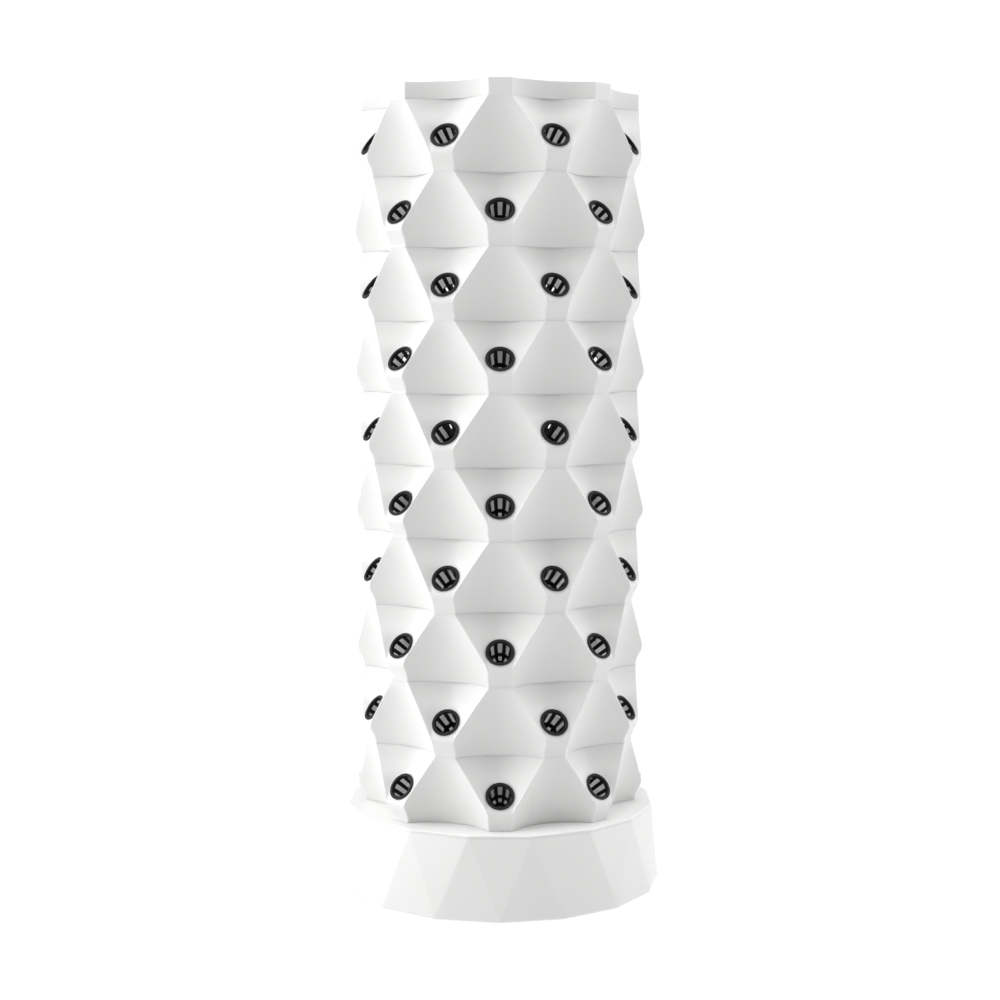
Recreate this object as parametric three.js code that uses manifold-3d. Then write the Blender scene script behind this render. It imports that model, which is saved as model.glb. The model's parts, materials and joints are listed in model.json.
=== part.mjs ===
import * as THREE from 'three';
import { mergeVertices } from 'three/addons/utils/BufferGeometryUtils.js';
import Module from 'manifold-3d';

// A vertical planter tower: ten moulded rings stacked on a water tank, a slotted net cup in every
// pocket, a cover on top, and a pump, a riser pipe and a drip tray inside.
// Sizes are in millimetres. +Z is up, the front faces -Y, and the origin is on the floor under
// the middle of the tank.

const wasm = await Module();
wasm.setup();

// Clearances
const seatGap = 0.3;
const slideGap = 0.4;
const overrun = 2;
const flatTolerance = 0.02;

// Column and ring
const ringCount = 10;
const pocketCount = 8;
const ringPitch = 110;
const ringWall = 3.4;
const pocketTilt = THREE.MathUtils.degToRad(36);
const rimRoom = 0.53;
const lipBelowCup = 23;
const neckInset = 3.7;
const neckProud = 4.2;
const bayTopHalf = 13.75;
const bayTopProud = 0.4;
const bayFootHalf = 24;
const bayDraw = 35.6;
const spigotLength = 8;
const spigotWall = 2.6;

// Net cup
const cupReach = 214;
const cupDrop = 57;
const cupNeckRadius = 19;
const cupRimLap = 3;
const cupRimThickness = 2.4;
const cupTaper = 5;
const cupDepth = 46;
const cupWall = 1.6;
const cupSides = 10;
const emptySocketSides = 8;
const cupSlotCount = 5;
const cupSlotWidth = 7;
const cupSlotTop = 6;
const cupSlotFoot = 7;
const firstRingWithCups = 5;
const lastRingWithCups = 6;

// Tank and deck
const tankSides = 16;
const tankShoulder = 29.2;
const tankFlare = 9.6;
const tankHeight = 126.4;
const tankWall = 4.3;
const tankFloor = 4;
const tankEdge = 3;
const deckThickness = 4;
const deckLipDepth = 10;
const deckLipWall = 3;

// Cable grommet in the deck, behind the column
const grommetSides = 6;
const grommetStandoff = 29;
const grommetBore = 3.5;
const grommetWall = 4.5;
const grommetLap = 3;
const grommetFlange = 2;

// Top cover
const coverHeight = 23;
const coverWall = 3;
const coverFlatHalf = 19.5;
const coverDishHalf = 25;
const coverDishDraw = 17.2;
const coverTabCount = 4;
const coverTabHalf = 9;
const coverTabWall = 2.6;
const coverTabRise = 8;

// Riser pipe and its sleeves
const pipeSides = 8;
const pipeRadius = 16;
const pipeWall = 3;
const pipeCount = 3;
const riserTopAboveRing = 4;
const sleeveWall = 3;
const sleeveLength = 56;
const sleeveStop = 2;

// Spray head
const headBoreDepth = 10;
const headWall = 3;
const headChamberRadius = 12;
const headWindowHeight = 5;
const headWindowWidth = 5;
const headWindowCount = 6;
const headWindowRise = 15;

// Drip tray
const traySides = 16;
const trayFlange = 2.4;
const trayDepth = 14;
const trayWall = 2.4;
const trayCollarWall = 3;
const trayCollarGap = 1.3;
const dripHoleInset = 18.4;
const dripHoleRadius = 4;
const dripHoleSides = 6;

// Pump
const pumpSides = 8;
const voluteWall = 6;
const voluteFront = 11;
const voluteBack = 9;
const chamberRadius = 23;
const chamberBack = 6;
const blockWidth = 54;
const blockHeight = 56;
const blockLength = 60;
const blockCorner = 9;
const rotorBoreRadius = 12;
const rotorBoreLength = 46;
const nozzleRadius = 11;
const nozzleBore = 7;
const volutePlateSkin = 0.6;
const suctionHoleRadius = 4;
const suctionHoleReach = 9;
const suctionHoleCount = 4;
const shaftRadius = 1.6;
const shaftSides = 6;
const shaftSeat = 3;
const magnetRoom = 1.4;
const impellerRoom = 3;
const impellerPlate = 2.5;
const vaneCount = 6;
const vaneWidth = 2;
const vaneHeight = 8;
const vaneStart = 5;
const hubRadius = 6;
const strainerInset = 2;
const strainerLength = 30;
const strainerWall = 2.4;
const strainerBand = 6;
const slitCount = 5;
const slitWidth = 4;
const gripRadius = 10;
const gripSides = 6;
const gripStem = 4;
const gripInset = 9;
const gripHeight = 13.4;
const gripSkirt = 4;
const gripSkirtWall = 2;

// Pump adapter, from the nozzle to the riser pipe
const adapterWall = 3;
const adapterSocket = 22;
const adapterNeck = 6;

// Places worked out from the sizes above
const tiltTangent = Math.tan(pocketTilt);
const halfPeriod = Math.PI / pocketCount;
const period = halfPeriod * 2;
const ringHeight = ringPitch - seatGap;
const cupRimRadius = cupNeckRadius + cupRimLap;
const cupFootRadius = cupNeckRadius - cupTaper;
const lipDrop = cupDrop + lipBelowCup;
const pocketTopReach = cupReach - cupDrop * tiltTangent;
const lipReach = cupReach + lipBelowCup * tiltTangent;
const neckReach = cupReach + neckProud;
const neckHalf = cupRimRadius - neckInset;
const pocketTopHalf = neckHalf + ((neckInset + rimRoom) * lipDrop) / lipBelowCup;
const bayTopReach = neckReach + bayTopProud;
const bayFootReach = bayTopReach - bayDraw;
const tankRimRadius = neckReach + tankShoulder;
const tankFootRadius = tankRimRadius + tankFlare;
const deckBottom = tankHeight + seatGap;
const deckTop = deckBottom + deckThickness;
const columnFoot = deckTop + seatGap;
const columnTop = columnFoot + ringCount * ringPitch - seatGap;
const grommetReach = bayFootReach + grommetStandoff;
const grommetNeckRadius = grommetBore + grommetWall;
const grommetFlangeRadius = grommetNeckRadius + grommetLap;
const coverSeat = columnTop + seatGap;
const coverDishReach = neckReach - coverDishDraw;
const trayHeight = columnTop + seatGap;
const trayDishRadius = pocketTopReach - ringWall - slideGap * 2;
const trayFlangeRadius = pocketTopReach - seatGap * 2;
const dripHoleReach = trayDishRadius - dripHoleInset;
const riserTop = columnTop + riserTopAboveRing;
const headTop = coverSeat + coverHeight - coverWall - seatGap;
const trayFloor = trayHeight + trayWall - trayDepth;
const trayCollarHeight = riserTop - headBoreDepth - trayCollarGap - trayFloor;
const blockBottom = tankFloor + seatGap * 2 + gripHeight;
const pumpAxisHeight = blockBottom + blockHeight / 2;
const voluteRadius = chamberRadius + voluteWall;
const strainerRadius = voluteRadius - strainerInset;
const impellerRadius = chamberRadius - impellerRoom;
const magnetRadius = rotorBoreRadius - magnetRoom;
const volutePlate = shaftSeat + volutePlateSkin;
const adapterBottom = pumpAxisHeight + Math.max(blockHeight / 2, voluteRadius) + seatGap;
const nozzleTop = adapterBottom + adapterSocket;
const riserBottom = nozzleTop + adapterNeck + seatGap * 2;
const pipeGap = sleeveStop + seatGap * 2;
const pipeLength = (riserTop - riserBottom - pipeGap * (pipeCount - 1)) / pipeCount;
const blockBack = voluteBack + blockLength;
const coverPlateBack = -voluteFront - seatGap;
const coverPlateFront = coverPlateBack - volutePlate;

// Finishes
function plastic(color, roughness) {
  return new THREE.MeshStandardMaterial({ color, roughness, metalness: 0 });
}

const whiteShell = () => plastic(0xf3f3f1, 0.42);
const blackCup = () => plastic(0x1d1e20, 0.55);
const greyPipe = () => plastic(0xc9ccce, 0.5);
const blackPump = () => plastic(0x17181a, 0.4);
const blackRubber = () => plastic(0x202020, 0.85);
const shaftSteel = () => new THREE.MeshStandardMaterial({ color: 0xb9bcc0, roughness: 0.3, metalness: 1 });

// Solids and meshes

// Welds a closed geometry's corners and hands it over as a solid.
function solid(geometry) {
  const bare = geometry.index ? geometry.toNonIndexed() : geometry.clone();
  bare.deleteAttribute('normal');
  bare.deleteAttribute('uv');
  const welded = mergeVertices(bare);
  const corners = welded.index.array;
  const triangles = [];
  for (let i = 0; i < corners.length; i += 3) {
    const [a, b, c] = corners.slice(i, i + 3);
    if (a !== b && b !== c && c !== a) triangles.push(a, b, c);
  }
  return new wasm.Manifold(new wasm.Mesh({
    numProp: 3,
    vertProperties: Float32Array.from(welded.attributes.position.array),
    triVerts: Uint32Array.from(triangles),
  }));
}

function joined(first, ...others) {
  return others.reduce((whole, other) => whole.add(other), first);
}

function cut(first, ...others) {
  return others.reduce((whole, other) => whole.subtract(other), first);
}

// Merges the flat faces that cuts and joins have split.
function tidied(body) {
  return body.setTolerance(flatTolerance).asOriginal().simplify(flatTolerance);
}

function pieceOf(name, body, material) {
  const { vertProperties, triVerts } = tidied(body).getMesh();
  const geometry = new THREE.BufferGeometry();
  geometry.setAttribute('position', new THREE.BufferAttribute(Float32Array.from(vertProperties), 3));
  geometry.setIndex(new THREE.BufferAttribute(Uint32Array.from(triVerts), 1));
  geometry.computeVertexNormals();
  const piece = new THREE.Mesh(geometry, material);
  piece.name = name;
  return piece;
}

// Outlines

// A point at a distance from the axis along an azimuth, and across it. Azimuths turn from +Y.
function spot(azimuth, across, reach) {
  const sine = Math.sin(azimuth);
  const cosine = Math.cos(azimuth);
  return new THREE.Vector2(-reach * sine - across * cosine, reach * cosine - across * sine);
}

// An eightfold outline with a flat at each pocket (near) and a flat between pockets (far).
function scallop(near, far) {
  const outline = [];
  for (let i = 0; i < pocketCount; i++) {
    const azimuth = i * period;
    outline.push(spot(azimuth, -near.half, near.reach));
    outline.push(spot(azimuth, near.half, near.reach));
    outline.push(spot(azimuth + halfPeriod, -far.half, far.reach));
    outline.push(spot(azimuth + halfPeriod, far.half, far.reach));
  }
  return outline;
}

function polygon(radius, sides, turn) {
  const outline = [];
  for (let i = 0; i < sides; i++) outline.push(spot(turn + (i * 2 * Math.PI) / sides, 0, radius));
  return outline;
}

// The outline moved inwards, with mitred corners.
function inset(outline, distance) {
  return outline.map((point, i) => {
    const before = outline.at(i - 1);
    const after = outline[(i + 1) % outline.length];
    const first = point.clone().sub(before).normalize();
    const second = after.clone().sub(point).normalize();
    const firstNormal = new THREE.Vector2(-first.y, first.x);
    const secondNormal = new THREE.Vector2(-second.y, second.x);
    const spread = 1 + firstNormal.dot(secondNormal);
    return firstNormal.add(secondNormal).multiplyScalar(distance / spread).add(point);
  });
}

function roundedRectangle(width, height, corner) {
  const shape = new THREE.Shape();
  const right = width / 2;
  const top = height / 2;
  shape.moveTo(-right + corner, -top);
  shape.lineTo(right - corner, -top);
  shape.absarc(right - corner, -top + corner, corner, -Math.PI / 2, 0);
  shape.absarc(right - corner, top - corner, corner, 0, Math.PI / 2);
  shape.absarc(-right + corner, top - corner, corner, Math.PI / 2, Math.PI);
  shape.absarc(-right + corner, -top + corner, corner, Math.PI, Math.PI * 1.5);
  return shape;
}

// Forms

function level(outline, height) {
  return outline.map((point) => new THREE.Vector3(point.x, point.y, height));
}

// Joins a run of level loops that go down on the outside and up on the inside. A closed run ends
// where it starts; an open one is capped at its first loop, facing up, and its last, facing down.
// The test folds says which way the fold of a four-sided patch runs.
function loft(loops, isClosed, folds) {
  const count = loops[0].length;
  const positions = [];
  const add = (...corners) => corners.forEach((corner) => positions.push(...corner.toArray()));
  const bands = isClosed ? loops.length : loops.length - 1;
  for (let i = 0; i < bands; i++) {
    const a = loops[i];
    const b = loops[(i + 1) % loops.length];
    const climbs = b[0].z > a[0].z;
    for (let k = 0; k < count; k++) {
      const next = (k + 1) % count;
      if (folds(k, climbs)) add(a[k], b[k], a[next], b[k], b[next], a[next]);
      else add(a[k], b[k], b[next], a[k], b[next], a[next]);
    }
  }
  if (!isClosed) {
    const first = loops[0];
    const last = loops.at(-1);
    const top = new THREE.Vector3(0, 0, first[0].z);
    const bottom = new THREE.Vector3(0, 0, last[0].z);
    for (let k = 0; k < count; k++) {
      const next = (k + 1) % count;
      add(top, first[k], first[next]);
      add(bottom, last[next], last[k]);
    }
  }
  const geometry = new THREE.BufferGeometry();
  geometry.setAttribute('position', new THREE.Float32BufferAttribute(positions, 3));
  return geometry;
}

// The ridges of a ring run from the bay's flat at the top to the neck's edge at the lip.
const ridgeFolds = (k, climbs) => k % 4 === (climbs ? 3 : 1);

// The tank's wall is a belt of triangles that point up and down in turn.
const beltFolds = (k, climbs) => climbs;

// Turns a profile of radius and height pairs round the Z axis. Its flats face the axes.
function turned(profile, sides) {
  const points = profile.map(([radius, height]) => new THREE.Vector2(radius, height));
  const geometry = new THREE.LatheGeometry(points, sides, Math.PI / sides, Math.PI * 2);
  return geometry.rotateX(Math.PI / 2);
}

function rod(radius, sides, bottom, top) {
  return turned([[0, bottom], [radius, bottom], [radius, top], [0, top]], sides);
}

function tube(innerRadius, outerRadius, sides, bottom, top) {
  const profile = [
    [innerRadius, bottom],
    [outerRadius, bottom],
    [outerRadius, top],
    [innerRadius, top],
    [innerRadius, bottom],
  ];
  return turned(profile, sides);
}

function plate(outline, holes, bottom, top) {
  const shape = outline instanceof THREE.Shape ? outline : new THREE.Shape(outline);
  holes.forEach((hole) => shape.holes.push(new THREE.Path(hole)));
  const geometry = new THREE.ExtrudeGeometry(shape, {
    depth: top - bottom,
    bevelEnabled: false,
    curveSegments: 3,
  });
  return geometry.translate(0, 0, bottom);
}

function block(width, length, height) {
  return new THREE.BoxGeometry(width, length, height);
}

// Lays a form made along Z down, so that it runs along Y.
const alongY = (geometry) => geometry.rotateX(-Math.PI / 2);

// A profile of reach and height pairs, made as wide as asked across the reach.
function standing(profile, width) {
  const outline = profile.map(([reach, height]) => new THREE.Vector2(reach, height));
  const geometry = plate(outline, [], -width / 2, width / 2);
  const across = new THREE.Vector3(1, 0, 0);
  const outwards = new THREE.Vector3(0, 1, 0);
  const up = new THREE.Vector3(0, 0, 1);
  return geometry.applyMatrix4(new THREE.Matrix4().makeBasis(outwards, up, across));
}

// Ring

function pocketAt(depth) {
  const share = depth / lipDrop;
  return {
    half: THREE.MathUtils.lerp(pocketTopHalf, neckHalf, share),
    reach: THREE.MathUtils.lerp(pocketTopReach, lipReach, share),
  };
}

function bayAt(depth) {
  const share = depth / ringHeight;
  return {
    half: THREE.MathUtils.lerp(bayTopHalf, bayFootHalf, share),
    reach: THREE.MathUtils.lerp(bayTopReach, bayFootReach, share),
  };
}

const ringTopOutline = scallop(pocketAt(0), bayAt(0));
const ringTopOpening = inset(ringTopOutline, ringWall);

// The wall of one ring, from its top at zero down, with the spigot that enters the ring below.
// The ring below is turned by half a period, so its bays lie under this ring's necks.
function ringShell() {
  const lipOutline = scallop(pocketAt(lipDrop), bayAt(lipDrop));
  const footOutline = scallop({ half: neckHalf, reach: neckReach }, bayAt(ringHeight));
  const spigotTop = inset(scallop(bayAt(0), pocketAt(0)), ringWall + slideGap);
  const spigotFoot = inset(scallop(bayAt(spigotLength), pocketAt(0)), ringWall + slideGap);
  return loft([
    level(ringTopOutline, 0),
    level(lipOutline, -lipDrop),
    level(footOutline, -ringHeight),
    level(spigotTop, -ringHeight),
    level(spigotFoot, -ringHeight - spigotLength),
    level(inset(spigotFoot, spigotWall), -ringHeight - spigotLength),
    level(inset(lipOutline, ringWall), -lipDrop),
    level(ringTopOpening, 0),
  ], true, ridgeFolds);
}

// Stands a form made along Z square to the pocket's flat at an azimuth of the ring.
function onPocket(geometry, azimuth) {
  return geometry
    .rotateX(pocketTilt - Math.PI / 2)
    .translate(0, cupReach, -cupDrop)
    .rotateZ(azimuth);
}

// The sockets are cut square to the pockets. Those that hold no cup here get fewer sides.
function ringSolid(socketSides) {
  const sockets = [];
  const socketRadius = cupNeckRadius + slideGap;
  const reach = ringWall + overrun;
  for (let i = 0; i < pocketCount; i++) {
    sockets.push(solid(onPocket(rod(socketRadius, socketSides, -reach, reach), i * period)));
  }
  return cut(solid(ringShell()), ...sockets);
}

// Net cup, with its rim's underside at zero and its axis along Z

function cupSolid() {
  const body = solid(turned([
    [0, -cupDepth],
    [cupFootRadius, -cupDepth],
    [cupNeckRadius, 0],
    [cupRimRadius, 0],
    [cupRimRadius, cupRimThickness],
    [cupNeckRadius - cupWall, cupRimThickness],
    [cupFootRadius - cupWall, cupWall - cupDepth],
    [0, cupWall - cupDepth],
  ], cupSides));
  const slotHeight = cupDepth - cupSlotTop - cupSlotFoot;
  const slots = [];
  for (let i = 0; i < cupSlotCount; i++) {
    const slot = block(cupSlotWidth, cupNeckRadius, slotHeight);
    slot.translate(0, cupNeckRadius / 2 + cupFootRadius / 2, -cupSlotTop - slotHeight / 2);
    slots.push(solid(slot.rotateZ((i * 2 * Math.PI) / cupSlotCount)));
  }
  return cut(body, ...slots);
}

// Tank and deck

function tankSolid() {
  const halfSide = Math.PI / tankSides;
  return solid(loft([
    level(polygon(tankFootRadius - tankWall, tankSides, 0), tankFloor),
    level(polygon(tankRimRadius - tankWall, tankSides, halfSide), tankHeight),
    level(polygon(tankRimRadius, tankSides, halfSide), tankHeight),
    level(polygon(tankFootRadius, tankSides, 0), tankEdge),
    level(polygon(tankFootRadius - tankEdge, tankSides, 0), 0),
  ], false, beltFolds));
}

// The opening takes the lowest ring's spigot, as a ring's top does.
function deckSolid() {
  const halfSide = Math.PI / tankSides;
  const opening = ringTopOpening.map((point) => point.clone().rotateAround(new THREE.Vector2(), halfPeriod));
  const lipRadius = tankRimRadius - tankWall - slideGap;
  const top = plate(polygon(tankRimRadius, tankSides, halfSide), [opening], deckBottom, deckTop);
  const lip = plate(
    polygon(lipRadius, tankSides, halfSide),
    [polygon(lipRadius - deckLipWall, tankSides, halfSide)],
    deckBottom - deckLipDepth,
    deckBottom + deckThickness / 2,
  );
  const hole = rod(grommetNeckRadius + slideGap, grommetSides, deckBottom - overrun, deckTop + overrun);
  return cut(joined(solid(top), solid(lip)), solid(atGrommet(hole)));
}

// The back of the deck, half a period round from the neck of the lowest ring.
function atGrommet(geometry) {
  return geometry.translate(0, grommetReach, 0).rotateZ(halfPeriod);
}

function grommetSolid() {
  const underside = -deckThickness - seatGap;
  return solid(turned([
    [grommetBore, underside - grommetFlange],
    [grommetFlangeRadius, underside - grommetFlange],
    [grommetFlangeRadius, underside],
    [grommetNeckRadius, underside],
    [grommetNeckRadius, seatGap],
    [grommetFlangeRadius, seatGap],
    [grommetFlangeRadius, seatGap + grommetFlange],
    [grommetBore, seatGap + grommetFlange],
    [grommetBore, underside - grommetFlange],
  ], grommetSides));
}

// Top cover, with its skirt's foot at zero

function coverSolid() {
  const outline = scallop(
    { half: coverDishHalf, reach: coverDishReach },
    { half: coverFlatHalf, reach: neckReach },
  );
  const inside = inset(outline, coverWall);
  const shell = solid(loft([
    level(outline, coverHeight),
    level(outline, 0),
    level(inside, 0),
    level(inside, coverHeight - coverWall),
  ], false, ridgeFolds));
  const tabOuter = bayAt(spigotLength).reach - ringWall - slideGap;
  const tabInner = tabOuter - coverTabWall;
  const skirtReach = neckReach - coverWall / 2;
  const tabs = [];
  for (let i = 0; i < coverTabCount; i++) {
    const tab = standing([
      [tabInner, -spigotLength],
      [tabOuter, -spigotLength],
      [tabOuter, coverTabRise - coverTabWall],
      [skirtReach, coverTabRise - coverTabWall],
      [skirtReach, coverTabRise],
      [tabInner, coverTabRise],
    ], coverTabHalf * 2);
    tabs.push(solid(tab.rotateZ(halfPeriod + (i * 2 * Math.PI) / coverTabCount)));
  }
  return joined(shell, ...tabs);
}

// Water path

function sleeveSolid() {
  const bore = pipeRadius + seatGap;
  const half = sleeveLength / 2;
  return solid(turned([
    [bore, -half],
    [bore + sleeveWall, -half],
    [bore + sleeveWall, half],
    [bore, half],
    [bore, sleeveStop / 2],
    [pipeRadius - pipeWall, sleeveStop / 2],
    [pipeRadius - pipeWall, -sleeveStop / 2],
    [bore, -sleeveStop / 2],
    [bore, -half],
  ], pipeSides));
}

// The head sits on the end of the riser pipe, which is at zero.
function headSolid() {
  const bore = pipeRadius + seatGap;
  const top = headTop - riserTop;
  const body = solid(turned([
    [bore, -headBoreDepth],
    [bore + headWall, -headBoreDepth],
    [bore + headWall, top - headWall],
    [bore, top],
    [0, top],
    [0, top - headWall],
    [headChamberRadius, top - headWall],
    [headChamberRadius, seatGap],
    [bore, seatGap],
    [bore, -headBoreDepth],
  ], pipeSides));
  const windows = [];
  const length = (bore + headWall + overrun) * 2;
  const rise = headWindowRise - headBoreDepth + headWindowHeight / 2;
  for (let i = 0; i < headWindowCount / 2; i++) {
    const window = block(headWindowWidth, length, headWindowHeight).translate(0, 0, rise);
    windows.push(solid(window.rotateZ((i * 2 * Math.PI) / headWindowCount)));
  }
  return cut(body, ...windows);
}

// The tray's flange is at zero and lies on the top ring's edge.
function traySolid() {
  const bore = pipeRadius + seatGap;
  const floor = trayWall - trayDepth;
  const dish = solid(turned([
    [bore, -trayDepth],
    [trayDishRadius, -trayDepth],
    [trayDishRadius, 0],
    [trayFlangeRadius, 0],
    [trayFlangeRadius, trayFlange],
    [trayDishRadius - trayWall, trayFlange],
    [trayDishRadius - trayWall, floor],
    [bore + trayCollarWall, floor],
    [bore + trayCollarWall, floor + trayCollarHeight],
    [bore, floor + trayCollarHeight],
    [bore, -trayDepth],
  ], traySides).rotateZ(Math.PI / traySides));
  const holes = [];
  for (let i = 0; i < pocketCount; i++) {
    const hole = rod(dripHoleRadius, dripHoleSides, -trayDepth - overrun, floor + overrun);
    holes.push(solid(hole.translate(0, dripHoleReach, 0).rotateZ(i * period)));
  }
  return cut(dish, ...holes);
}

function adapterSolid() {
  const lowBore = nozzleRadius + seatGap;
  const highBore = pipeRadius + seatGap;
  const stop = adapterSocket;
  const highStop = stop + seatGap + adapterNeck;
  return solid(turned([
    [lowBore, 0],
    [lowBore + adapterWall, 0],
    [highBore + adapterWall, stop],
    [highBore + adapterWall, highStop + adapterSocket],
    [highBore, highStop + adapterSocket],
    [highBore, highStop],
    [nozzleBore, highStop],
    [nozzleBore, stop + seatGap],
    [lowBore, stop + seatGap],
    [lowBore, 0],
  ], pipeSides));
}

// Pump, with its rotor along Y and its nozzle on the tower's axis

function atPumpAxis(geometry) {
  return geometry.translate(0, 0, pumpAxisHeight);
}

function housingSolid() {
  const motor = alongY(plate(roundedRectangle(blockWidth, blockHeight, blockCorner), [], 0, blockBack));
  const volute = alongY(rod(voluteRadius, pumpSides, -voluteFront, voluteBack));
  const chamber = alongY(rod(chamberRadius, pumpSides, -voluteFront - overrun, chamberBack));
  const rotorBore = alongY(rod(rotorBoreRadius, pumpSides, 0, chamberBack + rotorBoreLength));
  const shaftHole = rod(shaftRadius + slideGap, shaftSides, 0, chamberBack + rotorBoreLength + shaftSeat);
  const nozzle = rod(nozzleRadius, pipeSides, pumpAxisHeight, nozzleTop);
  const nozzleHole = rod(nozzleBore, pipeSides, pumpAxisHeight, nozzleTop + overrun);
  return cut(
    joined(solid(atPumpAxis(motor)), solid(atPumpAxis(volute)), solid(nozzle)),
    solid(atPumpAxis(chamber)),
    solid(atPumpAxis(rotorBore)),
    solid(atPumpAxis(alongY(shaftHole))),
    solid(nozzleHole),
  );
}

function voluteCoverSolid() {
  const disc = alongY(rod(voluteRadius, pumpSides, coverPlateFront, coverPlateBack));
  const seatEnd = coverPlateBack - shaftSeat;
  const seat = alongY(rod(shaftRadius + slideGap, shaftSides, seatEnd, coverPlateBack + overrun));
  const holes = [];
  for (let i = 0; i < suctionHoleCount; i++) {
    const hole = rod(suctionHoleRadius, shaftSides, coverPlateFront - overrun, coverPlateBack + overrun);
    hole.translate(suctionHoleReach, 0, 0).rotateZ((i * 2 * Math.PI) / suctionHoleCount);
    holes.push(solid(atPumpAxis(alongY(hole))));
  }
  return cut(solid(atPumpAxis(disc)), solid(atPumpAxis(seat)), ...holes);
}

// The rotor turns round the fixed shaft: a magnet in the bore and an impeller in the chamber.
function rotorSolid() {
  const back = chamberBack + rotorBoreLength - slideGap * 2;
  const plateBack = chamberBack - slideGap * 2;
  const plateFront = plateBack - impellerPlate;
  const magnet = rod(magnetRadius, pumpSides, plateBack - impellerPlate / 2, back);
  const impeller = rod(impellerRadius, pumpSides, plateFront, plateBack);
  const hub = rod(hubRadius, pumpSides, plateFront - vaneHeight, plateFront + impellerPlate / 2);
  const vanes = [];
  const vaneLength = impellerRadius * Math.cos(Math.PI / pumpSides) - vaneStart - seatGap;
  for (let i = 0; i < vaneCount; i++) {
    const vane = block(vaneWidth, vaneLength, vaneHeight + impellerPlate / 2);
    vane.translate(0, vaneStart + vaneLength / 2, plateFront - vaneHeight / 2 + impellerPlate / 4);
    vanes.push(solid(atPumpAxis(alongY(vane.rotateZ((i * 2 * Math.PI) / vaneCount)))));
  }
  const bore = rod(shaftRadius + slideGap, shaftSides, plateFront - vaneHeight - overrun, back + overrun);
  return cut(
    joined(
      solid(atPumpAxis(alongY(magnet))),
      solid(atPumpAxis(alongY(impeller))),
      solid(atPumpAxis(alongY(hub))),
      ...vanes,
    ),
    solid(atPumpAxis(alongY(bore))),
  );
}

function shaftSolid() {
  const front = coverPlateBack - shaftSeat + seatGap;
  const back = chamberBack + rotorBoreLength + shaftSeat - seatGap;
  return solid(atPumpAxis(alongY(rod(shaftRadius, shaftSides, front, back))));
}

// A cage on the volute cover, slit into fins that a band at its back holds together.
function strainerSolid() {
  const back = coverPlateFront - seatGap;
  const front = back - strainerLength;
  const cage = cut(
    solid(atPumpAxis(alongY(rod(strainerRadius, pumpSides, front, back)))),
    solid(atPumpAxis(alongY(
      rod(strainerRadius - strainerWall, pumpSides, front + strainerWall, back + overrun),
    ))),
  );
  const slits = [];
  const pitch = (strainerRadius * 2) / (slitCount + 1);
  const length = strainerLength - strainerBand + overrun;
  for (let i = 0; i < slitCount; i++) {
    const slit = block((strainerRadius + overrun) * 2, length, slitWidth);
    slit.translate(0, front - overrun + length / 2, (i - (slitCount - 1) / 2) * pitch);
    slits.push(solid(atPumpAxis(slit)));
  }
  return cut(cage, ...slits);
}

// A suction foot between the tank's floor and the pump's underside, with its lip at zero.
function gripSolid() {
  return solid(turned([
    [0, gripSkirtWall],
    [gripRadius - gripSkirtWall, 0],
    [gripRadius, 0],
    [gripStem, gripSkirt],
    [gripStem, gripHeight],
    [0, gripHeight],
  ], gripSides));
}

// Assembly

const group = new THREE.Group();

function addPiece(name, body, material, height = 0, turn = 0) {
  const piece = pieceOf(name, body, material);
  piece.position.z = height;
  piece.rotation.z = turn;
  group.add(piece);
  return piece;
}

const twoDigits = (number) => String(number).padStart(2, '0');
const ringTop = (number) => columnTop - (number - 1) * ringPitch;
const ringTurn = (number) => (number % 2 === 1 ? halfPeriod : 0);

addPiece('tank', tankSolid(), whiteShell());
addPiece('tank_deck', deckSolid(), whiteShell());

const grommet = pieceOf('cable_grommet', grommetSolid(), blackRubber());
grommet.position.set(-grommetReach * Math.sin(halfPeriod), grommetReach * Math.cos(halfPeriod), deckTop);
grommet.rotation.z = halfPeriod;
group.add(grommet);

const cuppedRing = ringSolid(cupSides);
const plainRing = ringSolid(emptySocketSides);
const holdsCups = (number) => number >= firstRingWithCups && number <= lastRingWithCups;
for (let number = 1; number <= ringCount; number++) {
  const ring = holdsCups(number) ? cuppedRing : plainRing;
  addPiece(`ring_${twoDigits(number)}`, ring, whiteShell(), ringTop(number), ringTurn(number));
}

// The cups of two rings. The first of each ring is the one at the front or to its right.
const cup = cupSolid();
for (let number = firstRingWithCups; number <= lastRingWithCups; number++) {
  for (let i = 0; i < pocketCount; i++) {
    const holder = new THREE.Group();
    holder.position.z = ringTop(number);
    holder.rotation.z = Math.PI + ringTurn(number) + i * period;
    const piece = pieceOf(`cup_${twoDigits(number)}_${i + 1}`, cup, blackCup());
    const lift = seatGap / Math.cos(pocketTilt);
    piece.position.set(0, cupReach + lift, -cupDrop);
    piece.rotation.x = pocketTilt - Math.PI / 2;
    holder.add(piece);
    group.add(holder);
  }
}

addPiece('top_cover', coverSolid(), whiteShell(), coverSeat, ringTurn(1));
addPiece('drip_tray', traySolid(), whiteShell(), trayHeight, ringTurn(1));
addPiece('spray_head', headSolid(), greyPipe(), riserTop);

const pipeNames = ['riser_lower', 'riser_middle', 'riser_upper'];
const pipe = solid(tube(pipeRadius - pipeWall, pipeRadius, pipeSides, 0, pipeLength));
const pipeStart = (index) => riserBottom + index * (pipeLength + pipeGap);
pipeNames.forEach((name, index) => addPiece(name, pipe, greyPipe(), pipeStart(index)));

const sleeveNames = ['riser_coupling_lower', 'riser_coupling_upper'];
const sleeve = sleeveSolid();
sleeveNames.forEach((name, index) => {
  addPiece(name, sleeve, greyPipe(), pipeStart(index + 1) - pipeGap / 2);
});

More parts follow.
